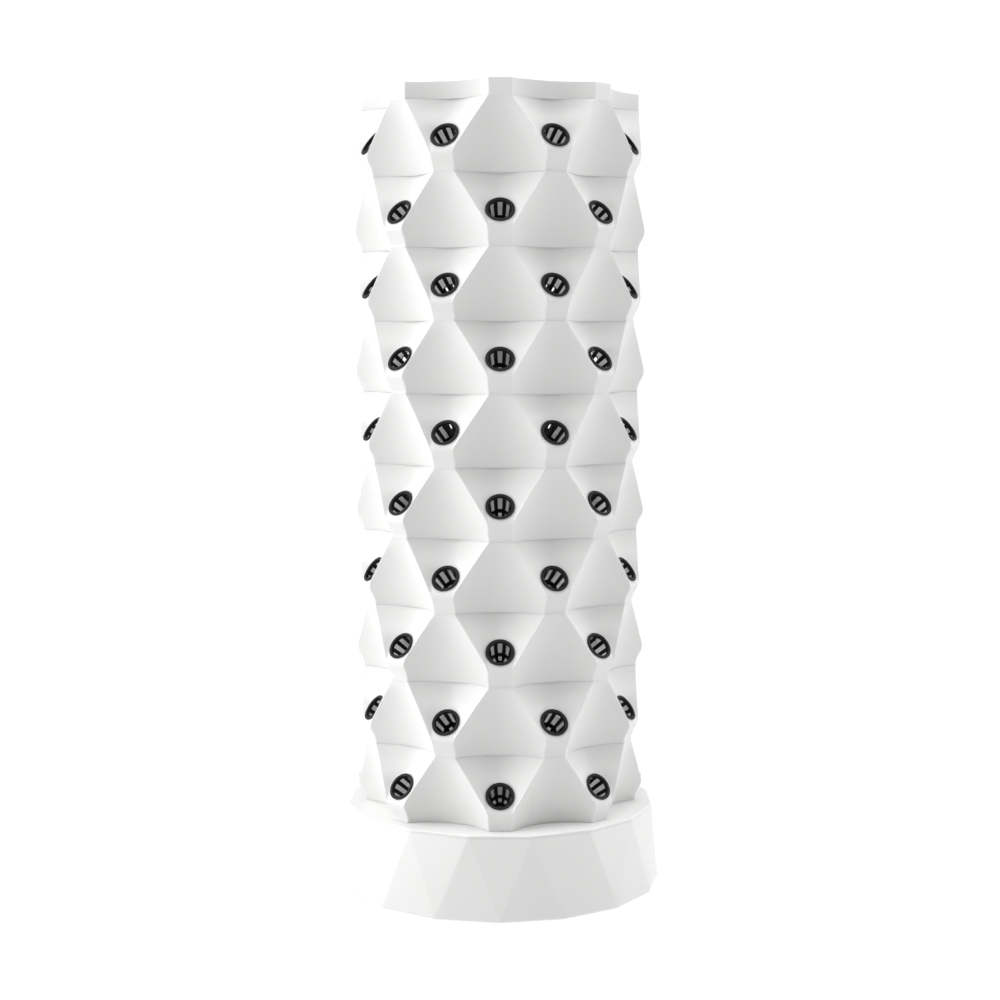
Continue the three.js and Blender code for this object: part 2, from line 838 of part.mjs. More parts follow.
addPiece('pump_adapter', adapterSolid(), greyPipe(), adapterBottom);
addPiece('pump_housing', housingSolid(), blackPump());
addPiece('pump_volute_cover', voluteCoverSolid(), blackPump());
addPiece('pump_rotor', rotorSolid(), blackPump());
addPiece('pump_shaft', shaftSolid(), shaftSteel());
addPiece('pump_strainer', strainerSolid(), blackPump());

const grip = gripSolid();
const gripAcross = blockWidth / 2 - gripInset;
const gripPlaces = [
  [-gripAcross, voluteBack + gripInset],
  [gripAcross, voluteBack + gripInset],
  [-gripAcross, blockBack - gripInset],
  [gripAcross, blockBack - gripInset],
];
gripPlaces.forEach(([across, along], index) => {
  const foot = addPiece(`pump_foot_${index + 1}`, grip, blackRubber(), tankFloor + seatGap);
  foot.position.x = across;
  foot.position.y = along;
});

export default group;
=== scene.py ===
# %% [markdown]
# # A vertical planter tower
# The object is a white plastic tower for growing plants: ten moulded rings stand on a low water
# tank, and each ring holds eight slotted net cups that lean outwards. A flat cover closes the
# top. Inside, a pump lifts water up a riser pipe, and a tray lets it rain down past the roots.
# The plain solids are loaded first and give every place. This file then makes the fine surface.

# %% Load the plain solids as the frame
import json
import math

import bmesh
import bpy
import numpy as np
from mathutils import Matrix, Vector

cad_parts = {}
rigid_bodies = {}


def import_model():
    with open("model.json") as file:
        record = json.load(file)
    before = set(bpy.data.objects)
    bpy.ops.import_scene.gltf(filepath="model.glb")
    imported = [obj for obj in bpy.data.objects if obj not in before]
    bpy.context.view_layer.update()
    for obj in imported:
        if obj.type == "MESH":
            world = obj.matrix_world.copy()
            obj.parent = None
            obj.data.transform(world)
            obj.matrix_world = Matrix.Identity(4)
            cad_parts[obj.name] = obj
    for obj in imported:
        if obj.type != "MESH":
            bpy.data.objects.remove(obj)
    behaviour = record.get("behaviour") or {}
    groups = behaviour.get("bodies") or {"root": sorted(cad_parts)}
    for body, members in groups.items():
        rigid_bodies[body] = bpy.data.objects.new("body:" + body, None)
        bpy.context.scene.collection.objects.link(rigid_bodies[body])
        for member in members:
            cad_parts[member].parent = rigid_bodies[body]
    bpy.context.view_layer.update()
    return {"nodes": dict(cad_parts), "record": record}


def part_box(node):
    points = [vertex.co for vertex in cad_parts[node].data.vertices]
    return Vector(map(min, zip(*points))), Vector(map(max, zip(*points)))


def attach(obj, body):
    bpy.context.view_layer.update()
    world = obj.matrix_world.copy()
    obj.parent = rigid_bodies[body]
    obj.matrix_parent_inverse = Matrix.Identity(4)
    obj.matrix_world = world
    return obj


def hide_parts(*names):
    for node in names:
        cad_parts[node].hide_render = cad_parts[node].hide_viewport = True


for leftover in list(bpy.data.objects):
    bpy.data.objects.remove(leftover)

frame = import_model()
nodes = frame["nodes"]

# %% [markdown]
# ## The camera
# The photograph was taken from about waist height, three metres away, with a longish lens, so
# the tower hardly tapers. The numbers below were found by moving a virtual camera until the
# mouths of the cups fell where they do in the photograph. A camera could also be aimed with a
# Track To constraint, but plain numbers are easier to check.

# %% Camera
MM = 0.001
CAMERA_DISTANCE = 3000.5 * MM
CAMERA_HEIGHT = 871.9 * MM
CAMERA_TILT = math.radians(4.8755)
FOCAL_SHARE_OF_FRAME = 1.8731

camera_data = bpy.data.cameras.new("studio_camera")
camera_data.sensor_width = 36
camera_data.lens = FOCAL_SHARE_OF_FRAME * camera_data.sensor_width
camera = bpy.data.objects.new("studio_camera", camera_data)
camera.location = (0, -CAMERA_DISTANCE, CAMERA_HEIGHT)
camera.rotation_euler = (math.pi / 2 - CAMERA_TILT, 0, 0)
bpy.context.scene.collection.objects.link(camera)
bpy.context.scene.camera = camera
print("lens, mm:", round(camera_data.lens, 2))

# %% [markdown]
# ## Sizes
# These are the sizes of the real object. Each is written once, in metres, and the forms below
# are worked out from them. The azimuth of a pocket is measured from +Y round the tower.

# %% Sizes of the column
RING_COUNT = 10
POCKETS = 8
HALF_PERIOD = math.pi / POCKETS
RING_PITCH = 110 * MM
SEAT_GAP = 0.3 * MM
SEAM_GAP = 0.04 * MM
RING_HEIGHT = RING_PITCH - SEAM_GAP
RING_WALL = 4.2 * MM
COLUMN_FOOT = 131.0 * MM
COLUMN_TOP = COLUMN_FOOT + RING_COUNT * RING_PITCH - SEAT_GAP

POCKET_TILT = math.radians(36)
CUP_REACH = 214 * MM
CUP_DROP = 57 * MM
LIP_DROP = 80 * MM
UNDERCUT_DROP = 102 * MM
NECK_HALF = 18.3 * MM
NECK_FOOT_HALF = 17.1 * MM
NECK_REACH = 218.2 * MM
BAY_TOP_HALF = 17.1 * MM
BAY_TOP_REACH = 218.6 * MM
BAY_FOOT_REACH = 183 * MM


def ring_top(number):
    return COLUMN_TOP - (number - 1) * RING_PITCH


def ring_turn(number):
    return HALF_PERIOD if number % 2 else 0.0


def spot_at(azimuth, reach, height):
    return (-reach * math.sin(azimuth), reach * math.cos(azimuth), height)


low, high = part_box("ring_01")
print("top of the column, by the sizes and the frame:", round(COLUMN_TOP, 4), round(high.z, 4))

# %% [markdown]
# ## Finishes
# The rings are satin white plastic. Real moulded plastic is never one flat colour: a faint
# cloudiness runs through the white, the gloss wanders a little, and a very fine grain from the
# mould breaks up the highlights. All three are made with Noise textures on Object coordinates,
# so they stay put when a piece moves. Light also spreads a millimetre or two under the surface,
# which softens the small edges as it does in real white plastic.

# %% Shared node helpers for the finishes
# Nearly all of a Noise texture's values lie between these two.
NOISE_LOW, NOISE_HIGH = 0.3, 0.7


def new_material(name):
    material = bpy.data.materials.new(name)
    material.use_nodes = True
    tree = material.node_tree
    shader = tree.nodes["Principled BSDF"]
    place = tree.nodes.new("ShaderNodeTexCoord")
    return material, tree, shader, place.outputs["Object"]


def noise(tree, place, scale, detail=2.0, stretch=None):
    if stretch is not None:
        mapping = tree.nodes.new("ShaderNodeMapping")
        mapping.inputs["Scale"].default_value = stretch
        tree.links.new(place, mapping.inputs["Vector"])
        place = mapping.outputs["Vector"]
    texture = tree.nodes.new("ShaderNodeTexNoise")
    texture.inputs["Scale"].default_value = scale
    texture.inputs["Detail"].default_value = detail
    tree.links.new(place, texture.inputs["Vector"])
    return texture.outputs["Fac"]


def vary_colour(tree, shader, factor, first, second):
    mix = tree.nodes.new("ShaderNodeMix")
    mix.data_type = "RGBA"
    mix.inputs["A"].default_value = (*first, 1)
    mix.inputs["B"].default_value = (*second, 1)
    tree.links.new(factor, mix.inputs["Factor"])
    tree.links.new(mix.outputs["Result"], shader.inputs["Base Color"])


def vary_roughness(tree, shader, factor, low_value, high_value):
    spread = tree.nodes.new("ShaderNodeMapRange")
    spread.inputs["From Min"].default_value = NOISE_LOW
    spread.inputs["From Max"].default_value = NOISE_HIGH
    spread.inputs["To Min"].default_value = low_value
    spread.inputs["To Max"].default_value = high_value
    tree.links.new(factor, spread.inputs["Value"])
    tree.links.new(spread.outputs["Result"], shader.inputs["Roughness"])


def add_bump(tree, shader, height, distance, strength):
    bump = tree.nodes.new("ShaderNodeBump")
    bump.inputs["Strength"].default_value = strength
    bump.inputs["Distance"].default_value = distance
    tree.links.new(height, bump.inputs["Height"])
    tree.links.new(bump.outputs["Normal"], shader.inputs["Normal"])


# %% White shell
def make_white_shell():
    material, tree, shader, place = new_material("white_shell")
    cloud = noise(tree, place, 7, detail=3)
    vary_colour(tree, shader, cloud, (0.75, 0.75, 0.745), (0.785, 0.785, 0.78))
    vary_roughness(tree, shader, noise(tree, place, 24), 0.38, 0.50)
    add_bump(tree, shader, noise(tree, place, 1400, detail=1), 0.0002, 0.08)
    shader.inputs["IOR"].default_value = 1.48
    shader.inputs["Subsurface Weight"].default_value = 1.0
    shader.inputs["Subsurface Radius"].default_value = (1.0, 0.98, 0.95)
    shader.inputs["Subsurface Scale"].default_value = 0.0015
    return material


# %% [markdown]
# The net cups are near black, with the slightly rough skin of cheap moulded polypropylene. The
# pump is a glossier black, its feet and the grommet are matt rubber, and the pipes are plain
# grey with faint marks drawn out along their length by the extruder.

# %% Black cup, grey pipe, pump, rubber and steel
def make_black_cup():
    material, tree, shader, place = new_material("black_cup")
    vary_colour(tree, shader, noise(tree, place, 60), (0.008, 0.008, 0.009), (0.016, 0.016, 0.017))
    vary_roughness(tree, shader, noise(tree, place, 160), 0.45, 0.62)
    add_bump(tree, shader, noise(tree, place, 2200, detail=1), 0.0002, 0.15)
    shader.inputs["Specular IOR Level"].default_value = 0.2
    return material


def make_grey_pipe():
    material, tree, shader, place = new_material("grey_pipe")
    drawn = noise(tree, place, 40, stretch=(30, 30, 1))
    vary_colour(tree, shader, drawn, (0.54, 0.56, 0.57), (0.6, 0.62, 0.63))
    vary_roughness(tree, shader, drawn, 0.4, 0.55)
    add_bump(tree, shader, drawn, 0.0002, 0.1)
    return material


def make_black_pump():
    material, tree, shader, place = new_material("black_pump")
    vary_colour(tree, shader, noise(tree, place, 30), (0.009, 0.009, 0.011), (0.015, 0.015, 0.017))
    vary_roughness(tree, shader, noise(tree, place, 90), 0.3, 0.45)
    add_bump(tree, shader, noise(tree, place, 1800, detail=1), 0.0002, 0.2)
    return material


def make_black_rubber():
    material, tree, shader, place = new_material("black_rubber")
    vary_colour(tree, shader, noise(tree, place, 80), (0.013, 0.013, 0.013), (0.022, 0.021, 0.02))
    vary_roughness(tree, shader, noise(tree, place, 120), 0.75, 0.9)
    add_bump(tree, shader, noise(tree, place, 900), 0.0003, 0.2)
    return material


def make_shaft_steel():
    material, tree, shader, place = new_material("shaft_steel")
    ground = noise(tree, place, 300, stretch=(1, 0.05, 1))
    vary_colour(tree, shader, ground, (0.46, 0.46, 0.48), (0.55, 0.55, 0.57))
    vary_roughness(tree, shader, ground, 0.22, 0.36)
    add_bump(tree, shader, ground, 0.0001, 0.1)
    shader.inputs["Metallic"].default_value = 1.0
    return material


finishes = {
    "white_shell": make_white_shell(),
    "black_cup": make_black_cup(),
    "grey_pipe": make_grey_pipe(),
    "black_pump": make_black_pump(),
    "black_rubber": make_black_rubber(),
    "shaft_steel": make_shaft_steel(),
}
slot_of = {part["node"]: part["material_slot"] for part in frame["record"]["subparts"]}
for name, node in nodes.items():
    node.data.materials.clear()
    node.data.materials.append(finishes[slot_of[name]])
print("finishes:", ", ".join(finishes))

# %% [markdown]
# ## A tree that copies a piece round the axis
# The rings, the cover, the deck, the cups and the tray all repeat: one segment, turned again and
# again. Modelling one segment and letting Geometry Nodes turn the copies keeps every copy
# exact. The tree makes one point for each copy, turns an instance at each, realizes them,
# welds the seams between segments and sets the finish. A modifier's result is then taken as a
# plain mesh, so the finished piece carries no modifier.

# %% Build the tree for copies round the axis
WELD_DISTANCE = 0.02 * MM
TREE_INPUTS = {"Segment": "Geometry", "Copies": "Int", "Step": "Float", "First Turn": "Float",
               "Height": "Float", "Finish": "Material"}


def build_copies_tree():
    tree = bpy.data.node_groups.new("copies_round_axis", "GeometryNodeTree")
    ids = {}
    for name, kind in TREE_INPUTS.items():
        socket = tree.interface.new_socket(name, in_out="INPUT", socket_type=f"NodeSocket{kind}")
        ids[name] = socket.identifier
    tree.interface.new_socket("Piece", in_out="OUTPUT", socket_type="NodeSocketGeometry")
    add = tree.nodes.new
    link = tree.links.new
    inputs = add("NodeGroupInput").outputs
    points = add("GeometryNodePoints")
    lift = add("ShaderNodeCombineXYZ")
    index = add("GeometryNodeInputIndex")
    turn = add("ShaderNodeMath")
    turn.operation = "MULTIPLY_ADD"
    euler = add("ShaderNodeCombineXYZ")
    copies = add("GeometryNodeInstanceOnPoints")
    realize = add("GeometryNodeRealizeInstances")
    weld = add("GeometryNodeMergeByDistance")
    weld.inputs["Distance"].default_value = WELD_DISTANCE
    finish = add("GeometryNodeSetMaterial")
    output = add("NodeGroupOutput")
    link(inputs["Copies"], points.inputs["Count"])
    link(inputs["Height"], lift.inputs["Z"])
    link(lift.outputs["Vector"], points.inputs["Position"])
    link(index.outputs["Index"], turn.inputs[0])
    link(inputs["Step"], turn.inputs[1])
    link(inputs["First Turn"], turn.inputs[2])
    link(turn.outputs["Value"], euler.inputs["Z"])
    link(points.outputs["Points"], copies.inputs["Points"])
    link(inputs["Segment"], copies.inputs["Instance"])
    link(euler.outputs["Vector"], copies.inputs["Rotation"])
    link(copies.outputs["Instances"], realize.inputs["Geometry"])
    link(realize.outputs["Geometry"], weld.inputs["Geometry"])
    link(weld.outputs["Geometry"], finish.inputs["Geometry"])
    link(inputs["Finish"], finish.inputs["Material"])
    link(finish.outputs["Geometry"], output.inputs["Piece"])
    return tree, ids


copies_tree, copies_inputs = build_copies_tree()

# %% [markdown]
# ## From a mesh to a finished piece
# Three helpers are used throughout. The first wraps points and faces in an object. The second
# takes what a modifier makes as a plain mesh. The third hands a piece over: it names the body
# that carries it, its finish and the plain solids it stands for.

# %% Helpers for pieces
SHARP_ANGLE = math.radians(38)
SAME_PLACE = 1e-7
SAME_ANGLE = 1e-5


def mesh_object(name, points, faces):
    mesh = bpy.data.meshes.new(name)
    mesh.from_pydata([tuple(map(float, point)) for point in points], [], faces)
    mesh.validate()
    piece = bpy.data.objects.new(name, mesh)
    bpy.context.scene.collection.objects.link(piece)
    return piece


def face_outwards(piece):
    shape = bmesh.new()
    shape.from_mesh(piece.data)
    bmesh.ops.remove_doubles(shape, verts=shape.verts, dist=SAME_PLACE)
    bmesh.ops.recalc_face_normals(shape, faces=shape.faces)
    shape.to_mesh(piece.data)
    shape.free()
    return piece


def take_result(piece, name, keep=False):
    """The evaluated piece as a plain mesh object with the given name."""
    graph = bpy.context.evaluated_depsgraph_get()
    graph.update()
    mesh = bpy.data.meshes.new_from_object(piece.evaluated_get(graph), depsgraph=graph)
    piece.modifiers.clear()
    if not keep:
        bpy.data.objects.remove(piece)
    mesh.name = name
    result = bpy.data.objects.new(name, mesh)
    bpy.context.scene.collection.objects.link(result)
    return result


def smooth(piece, angle=SHARP_ANGLE):
    piece.data.shade_smooth()
    piece.data.set_sharp_from_angle(angle=angle)
    return piece


def hand_over(piece, body, slot, *stood_for):
    piece.data.materials.clear()
    piece.data.materials.append(finishes[slot])
    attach(piece, body)
    if stood_for:
        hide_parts(*stood_for)
    return piece


def copies_of(segment, name, slot, copies, first_turn=0.0, height=0.0):
    """Copies of a segment round the axis, as one plain mesh. The segment itself is kept."""
    modifier = segment.modifiers.new("copies", "NODES")
    modifier.node_group = copies_tree
    modifier[copies_inputs["Copies"]] = copies
    modifier[copies_inputs["Step"]] = 2 * math.pi / copies
    modifier[copies_inputs["First Turn"]] = float(first_turn)
    modifier[copies_inputs["Height"]] = float(height)
    modifier[copies_inputs["Finish"]] = finishes[slot]
    return take_result(segment, name, keep=True)


def cut_round_hole(piece, radius, length, place, sides=64):
    """Cuts a round hole along the local Z axis of a matrix that places the cutter."""
    shape = bmesh.new()
    bmesh.ops.create_cone(shape, cap_ends=True, segments=sides, radius1=radius, radius2=radius,
                          depth=length, matrix=place)
    cutter_mesh = bpy.data.meshes.new("cutter")
    shape.to_mesh(cutter_mesh)
    shape.free()
    cutter = bpy.data.objects.new("cutter", cutter_mesh)
    bpy.context.scene.collection.objects.link(cutter)
    hole = piece.modifiers.new("hole", "BOOLEAN")
    hole.operation = "DIFFERENCE"
    hole.solver = "EXACT"
    hole.object = cutter
    result = take_result(piece, piece.name)
    bpy.data.objects.remove(cutter)
    return result


# %% [markdown]
# ## The outline of a ring
# Seen from above, a ring is an eightfold outline that changes with the depth below its top. At
# the top it has narrow flats between the pockets. Straight ridges run down from the ends of
# those flats to the neck under each cup, so the pocket narrows while the bay beside it widens
# and draws in. Across, a bay is hollow like the inside of a shallow bowl, and the bowl runs on
# unbroken into the pocket below, where the wall bends forward to the flat seat of the cup. The
# middle of the pocket starts a few millimetres behind the bay, which leaves a short soft shadow
# under each seam. Half of one pocket is made and then mirrored, which keeps the ring even.

# %% Half of a pocket's outline at a depth
EDGE_ROUNDING = 8 * MM
RIDGE_ROUNDING = 1.8 * MM
POCKET_POINTS = 19
RIDGE_POINTS = 5
BAY_POINTS = 15
FINE_POINTS = 90
RECESS_DROP = 4.5 * MM
RECESS_HALF = 44 * MM
# Half the width of the cup's flat seat, and how fast the hollow beside it rises, down the pocket.
SEAT_DEPTHS = np.array([0, 30, 40, 48, 57, 80]) * MM
SEAT_HALF_WIDTHS = np.array([0, 0, 10, 19.5, 23, 18.3]) * MM
POWER_DEPTHS = np.array([0, 40]) * MM
POCKET_POWERS = [2.0, 1.3]
BAY_POWER = 2.0
LEAST_RUN = 0.001 * MM


def turned_by(angle, points):
    sine, cosine = math.sin(angle), math.cos(angle)
    points = np.asarray(points)
    return np.column_stack([points[:, 0] * cosine - points[:, 1] * sine,
                            points[:, 0] * sine + points[:, 1] * cosine])


LIP_REACH = CUP_REACH + (LIP_DROP - CUP_DROP) * math.tan(POCKET_TILT)
POCKET_TOP_REACH = CUP_REACH - CUP_DROP * math.tan(POCKET_TILT)
TOP_RIDGE = turned_by(-HALF_PERIOD, [[-BAY_TOP_HALF, BAY_TOP_REACH]])[0]
RIDGE_DEPTHS = [0, LIP_DROP, UNDERCUT_DROP, RING_HEIGHT]


def along(depth, depths, values):
    """A value on straight runs between depths, with the corners between the runs rounded."""
    room = min(EDGE_ROUNDING, depth, RING_HEIGHT - depth)
    nearby = depth + np.linspace(-room, room, 9)
    return float(np.mean(np.interp(nearby, depths, values)))


def path_lengths(points):
    steps = np.linalg.norm(np.diff(points, axis=0), axis=1)
    return np.concatenate([[0], np.cumsum(steps)])


def walk(points, start, end, count):
    """Evenly spaced points on a path, from one length along it to another."""
    lengths = path_lengths(points)
    distances = np.linspace(start, end, count)
    return np.column_stack([np.interp(distances, lengths, points[:, 0]),
                            np.interp(distances, lengths, points[:, 1])])


def joined_at_ridge(pocket, bay):
    """Two runs that meet on a ridge, evenly spaced, with the ridge rounded by a small curve."""
    before = walk(pocket, 0, path_lengths(pocket)[-1] - RIDGE_ROUNDING, POCKET_POINTS)
    after = walk(bay, RIDGE_ROUNDING, path_lengths(bay)[-1], BAY_POINTS)
    t = np.linspace(0, 1, RIDGE_POINTS + 2)[1:-1, None]
    corner = (1 - t) ** 2 * before[-1] + 2 * t * (1 - t) * pocket[-1] + t**2 * after[0]
    return np.vstack([before, corner, after])


def hollow_reach(across, half, floor, top, power=BAY_POWER, flat=0.0):
    """A hollow that starts at the end of its flat floor and ends on the ridge."""
    share = np.clip((across - flat) / max(half - flat, LEAST_RUN), 0, 1)
    return floor + (top - floor) * share**power


def pocket_reach(across, depth, half, floor, top, inside):
    """The pocket: a hollow with the flat seat of the cup in it. Inside, the seat runs straight up
    to the seam. Outside, the wall bends forward to meet the bay above, less a small recess."""
    flat = np.interp(depth, SEAT_DEPTHS, SEAT_HALF_WIDTHS)
    power = np.interp(depth, POWER_DEPTHS, POCKET_POWERS)
    if inside:
        return hollow_reach(across, half, floor, top, power, flat)
    step = BAY_FOOT_REACH - POCKET_TOP_REACH
    seat_start = 2 * step / math.tan(POCKET_TILT)
    fade = max(0.0, 1 - depth / seat_start) ** 2
    recess_share = np.cos(np.clip(across / RECESS_HALF, 0, 1) * math.pi / 2) ** 2
    wall = hollow_reach(across, half, floor + step * fade, top, power, flat)
    return wall - RECESS_DROP * fade * recess_share


def half_outline(depth, inside=False):
    """From the middle of the pocket to the middle of the bay, as (across, reach) pairs."""
    middle = along(depth, RIDGE_DEPTHS, [POCKET_TOP_REACH, LIP_REACH, NECK_REACH, BAY_TOP_REACH])
    half = along(depth, RIDGE_DEPTHS, [abs(TOP_RIDGE[0]), NECK_HALF, NECK_HALF, NECK_FOOT_HALF])
    ridge = along(depth, RIDGE_DEPTHS, [TOP_RIDGE[1], LIP_REACH, NECK_REACH, BAY_TOP_REACH])
    share = np.linspace(0, 1, FINE_POINTS)
    across = share * half
    reach = pocket_reach(across, depth, half, middle, ridge, inside)
    pocket = np.column_stack([across, reach])
    pocket[-1] = (half, ridge)
    bay_middle = np.interp(depth, [0, RING_HEIGHT], [BAY_TOP_REACH, BAY_FOOT_REACH])
    bay_end = turned_by(HALF_PERIOD, [pocket[-1]])[0]
    bay_across = (1 - share) * bay_end[0]
    bay_reach = hollow_reach(np.abs(bay_across), abs(bay_end[0]), bay_middle, bay_end[1])
    bay = turned_by(-HALF_PERIOD, np.column_stack([bay_across, bay_reach]))
    return joined_at_ridge(pocket, bay)


def whole_period(half):
    """A half outline and its mirror image, from the middle of one bay to the next."""
    mirrored = half[::-1] * [-1, 1]
    return np.vstack([mirrored[:-1], half])


def period_below(inside=False):
    """The top outline of what stands below, which is turned by half a period."""
    half = turned_by(HALF_PERIOD, half_outline(0, inside))
    return np.vstack([half, (half[::-1] * [-1, 1])[1:]])


def drawn_in(outline, distance):
    reach = np.linalg.norm(outline, axis=1, keepdims=True)
    return outline * (1 - distance / reach)


print("points round one period:", len(whole_period(half_outline(0))))

# %% [markdown]
# ## One segment of a ring
# The segment is lofted: outlines at many depths are joined down the outside, round the spigot
# that enters the ring below, and up the inside. The depths crowd together where the lip turns
# under, because that is where the form bends. The socket for the cup is cut with a Boolean,
# square to the pocket, while the segment is still a closed wedge. Then the two cut faces of the
# wedge are removed, so the copies weld into one ring.

# %% Loft one segment
SPIGOT_LENGTH = 8 * MM
SPIGOT_WALL = 2.6 * MM
SPIGOT_CLEARANCE = 0.6 * MM
EDGE_BREAK = 0.06 * MM
SOCKET_RADIUS = 19.4 * MM
SOCKET_CUT_LENGTH = 24 * MM
OUTER_DEPTHS = np.concatenate([
    [EDGE_BREAK], np.linspace(5, 74, 16) * MM, np.linspace(76, 84, 7) * MM,
    np.linspace(87, 97, 4) * MM, np.linspace(99, 106, 5) * MM, [RING_HEIGHT - EDGE_BREAK],
])
INNER_DEPTHS = np.array([96, 80, 62, 44, 26, 12, 0]) * MM


def at_depth(outline, depth):
    return np.column_stack([outline, np.full(len(outline), -depth)])


def loft_wedge(name, loops):
    """Joins loops of equal length into a closed wedge with two flat ends."""
    count = len(loops[0])
    points = np.vstack(loops)
    faces = []
    for i in range(len(loops)):
        j = (i + 1) % len(loops)
        for k in range(count - 1):
            faces.append((i * count + k, j * count + k, j * count + k + 1, i * count + k + 1))
    faces.append([i * count for i in range(len(loops))])
    faces.append([i * count + count - 1 for i in range(len(loops))][::-1])
    return face_outwards(mesh_object(name, points, faces))


def rounded_edge(outline, edge, top):
    """Loops round the upper edge of a plate, from its flat top out to its side."""
    loops = []
    for turn in np.linspace(0, math.pi / 2, 5):
        inset = drawn_in(outline, edge * (1 - math.sin(turn)))
        loops.append(at_depth(inset, top + edge * (1 - math.cos(turn))))
    return loops


def open_ends(piece, half_angle):
    """Removes the faces that lie in the two end planes of a wedge round +Y."""
    shape = bmesh.new()
    shape.from_mesh(piece.data)

    def on_end(vert):
        return abs(abs(math.atan2(vert.co.x, vert.co.y)) - half_angle) < SAME_ANGLE

    ends = [face for face in shape.faces if all(on_end(vert) for vert in face.verts)]
    bmesh.ops.delete(shape, geom=ends, context="FACES_ONLY")
    shape.to_mesh(piece.data)
    shape.free()
    return piece


def ring_loops():
    loops = [at_depth(drawn_in(whole_period(half_outline(0)), EDGE_BREAK), 0)]
    loops += [at_depth(whole_period(half_outline(depth)), depth) for depth in OUTER_DEPTHS]
    foot = whole_period(half_outline(RING_HEIGHT))
    loops.append(at_depth(drawn_in(foot, EDGE_BREAK), RING_HEIGHT))
    below = period_below(inside=True)
    spigot = drawn_in(below, RING_WALL + SPIGOT_CLEARANCE)
    spigot_foot = drawn_in(below, RING_WALL + SPIGOT_CLEARANCE + SPIGOT_WALL)
    loops.append(at_depth(spigot, RING_HEIGHT))
    loops.append(at_depth(spigot_foot, RING_HEIGHT + SPIGOT_LENGTH))
    loops.append(at_depth(drawn_in(spigot_foot, SPIGOT_WALL), RING_HEIGHT + SPIGOT_LENGTH))
    for depth in INNER_DEPTHS:
        inner = whole_period(half_outline(depth, inside=True))
        loops.append(at_depth(drawn_in(inner, RING_WALL), depth))
    return loops


cup_axis_place = (Matrix.Translation((0, CUP_REACH, -CUP_DROP))
                  @ Matrix.Rotation(POCKET_TILT - math.pi / 2, 4, "X"))
ring_segment = loft_wedge("ring_segment", ring_loops())
ring_segment = cut_round_hole(ring_segment, SOCKET_RADIUS, SOCKET_CUT_LENGTH, cup_axis_place)
ring_segment = open_ends(ring_segment, HALF_PERIOD)
print("faces in one segment:", len(ring_segment.data.polygons))

# %% Turn the segment into the ten rings
for number in range(1, RING_COUNT + 1):
    ring = copies_of(ring_segment, f"ring_{number:02d}_fine", "white_shell", POCKETS,
                     ring_turn(number), ring_top(number))
    smooth(ring)
    hand_over(ring, "tower", "white_shell", f"ring_{number:02d}")
print("faces in one ring:", len(ring.data.polygons))
bpy.data.objects.remove(ring_segment)

# %% [markdown]
# ## The net cups
# A net cup is a tapered basket with a flat rim. Eight long slots let the roots out, a solid band
# closes the wall below them, and eight short slots run round the edge of the base. The whole
# basket is eight equal segments, so one is built point by point, as a grid with the cells of
# the slots left out, and the tree above turns it into a cup. Cutting slots with Booleans would
# work too, but leaves messy triangles on a piece that is repeated eighty times.

# %% Sizes of a cup
CUP_RIM_RADIUS = 22 * MM
CUP_RIM = 2.4 * MM
CUP_NECK_RADIUS = 19 * MM
CUP_FOOT_RADIUS = 14 * MM
CUP_DEPTH = 46 * MM
CUP_WALL = 1.6 * MM
CUP_SLOTS = 8
SLOT_HALF_ANGLE = math.radians(12.5)
SLOT_COLUMNS = range(2, 6)
SLOT_BOTTOM = -32 * MM
SLOT_TOP = -4 * MM
WALL_HEIGHTS = np.array([-39, -31, -24, -17, -10, -3]) * MM
BASE_RADII = np.array([2.5, 9.2, 11.6]) * MM
BASE_SLOT_START = 9 * MM
FOOT_CHAMFER = 0.5 * MM
FOOT_ROUNDING = 0.6 * MM
FOOT_LEAN = 0.1 * MM
RIM_CHAMFER = 0.5 * MM
RIM_ROUNDING = 0.6 * MM
MOUTH_ROUNDING = 0.8 * MM


def cup_radius(height):
    return CUP_FOOT_RADIUS + (CUP_NECK_RADIUS - CUP_FOOT_RADIUS) * (height / CUP_DEPTH + 1)


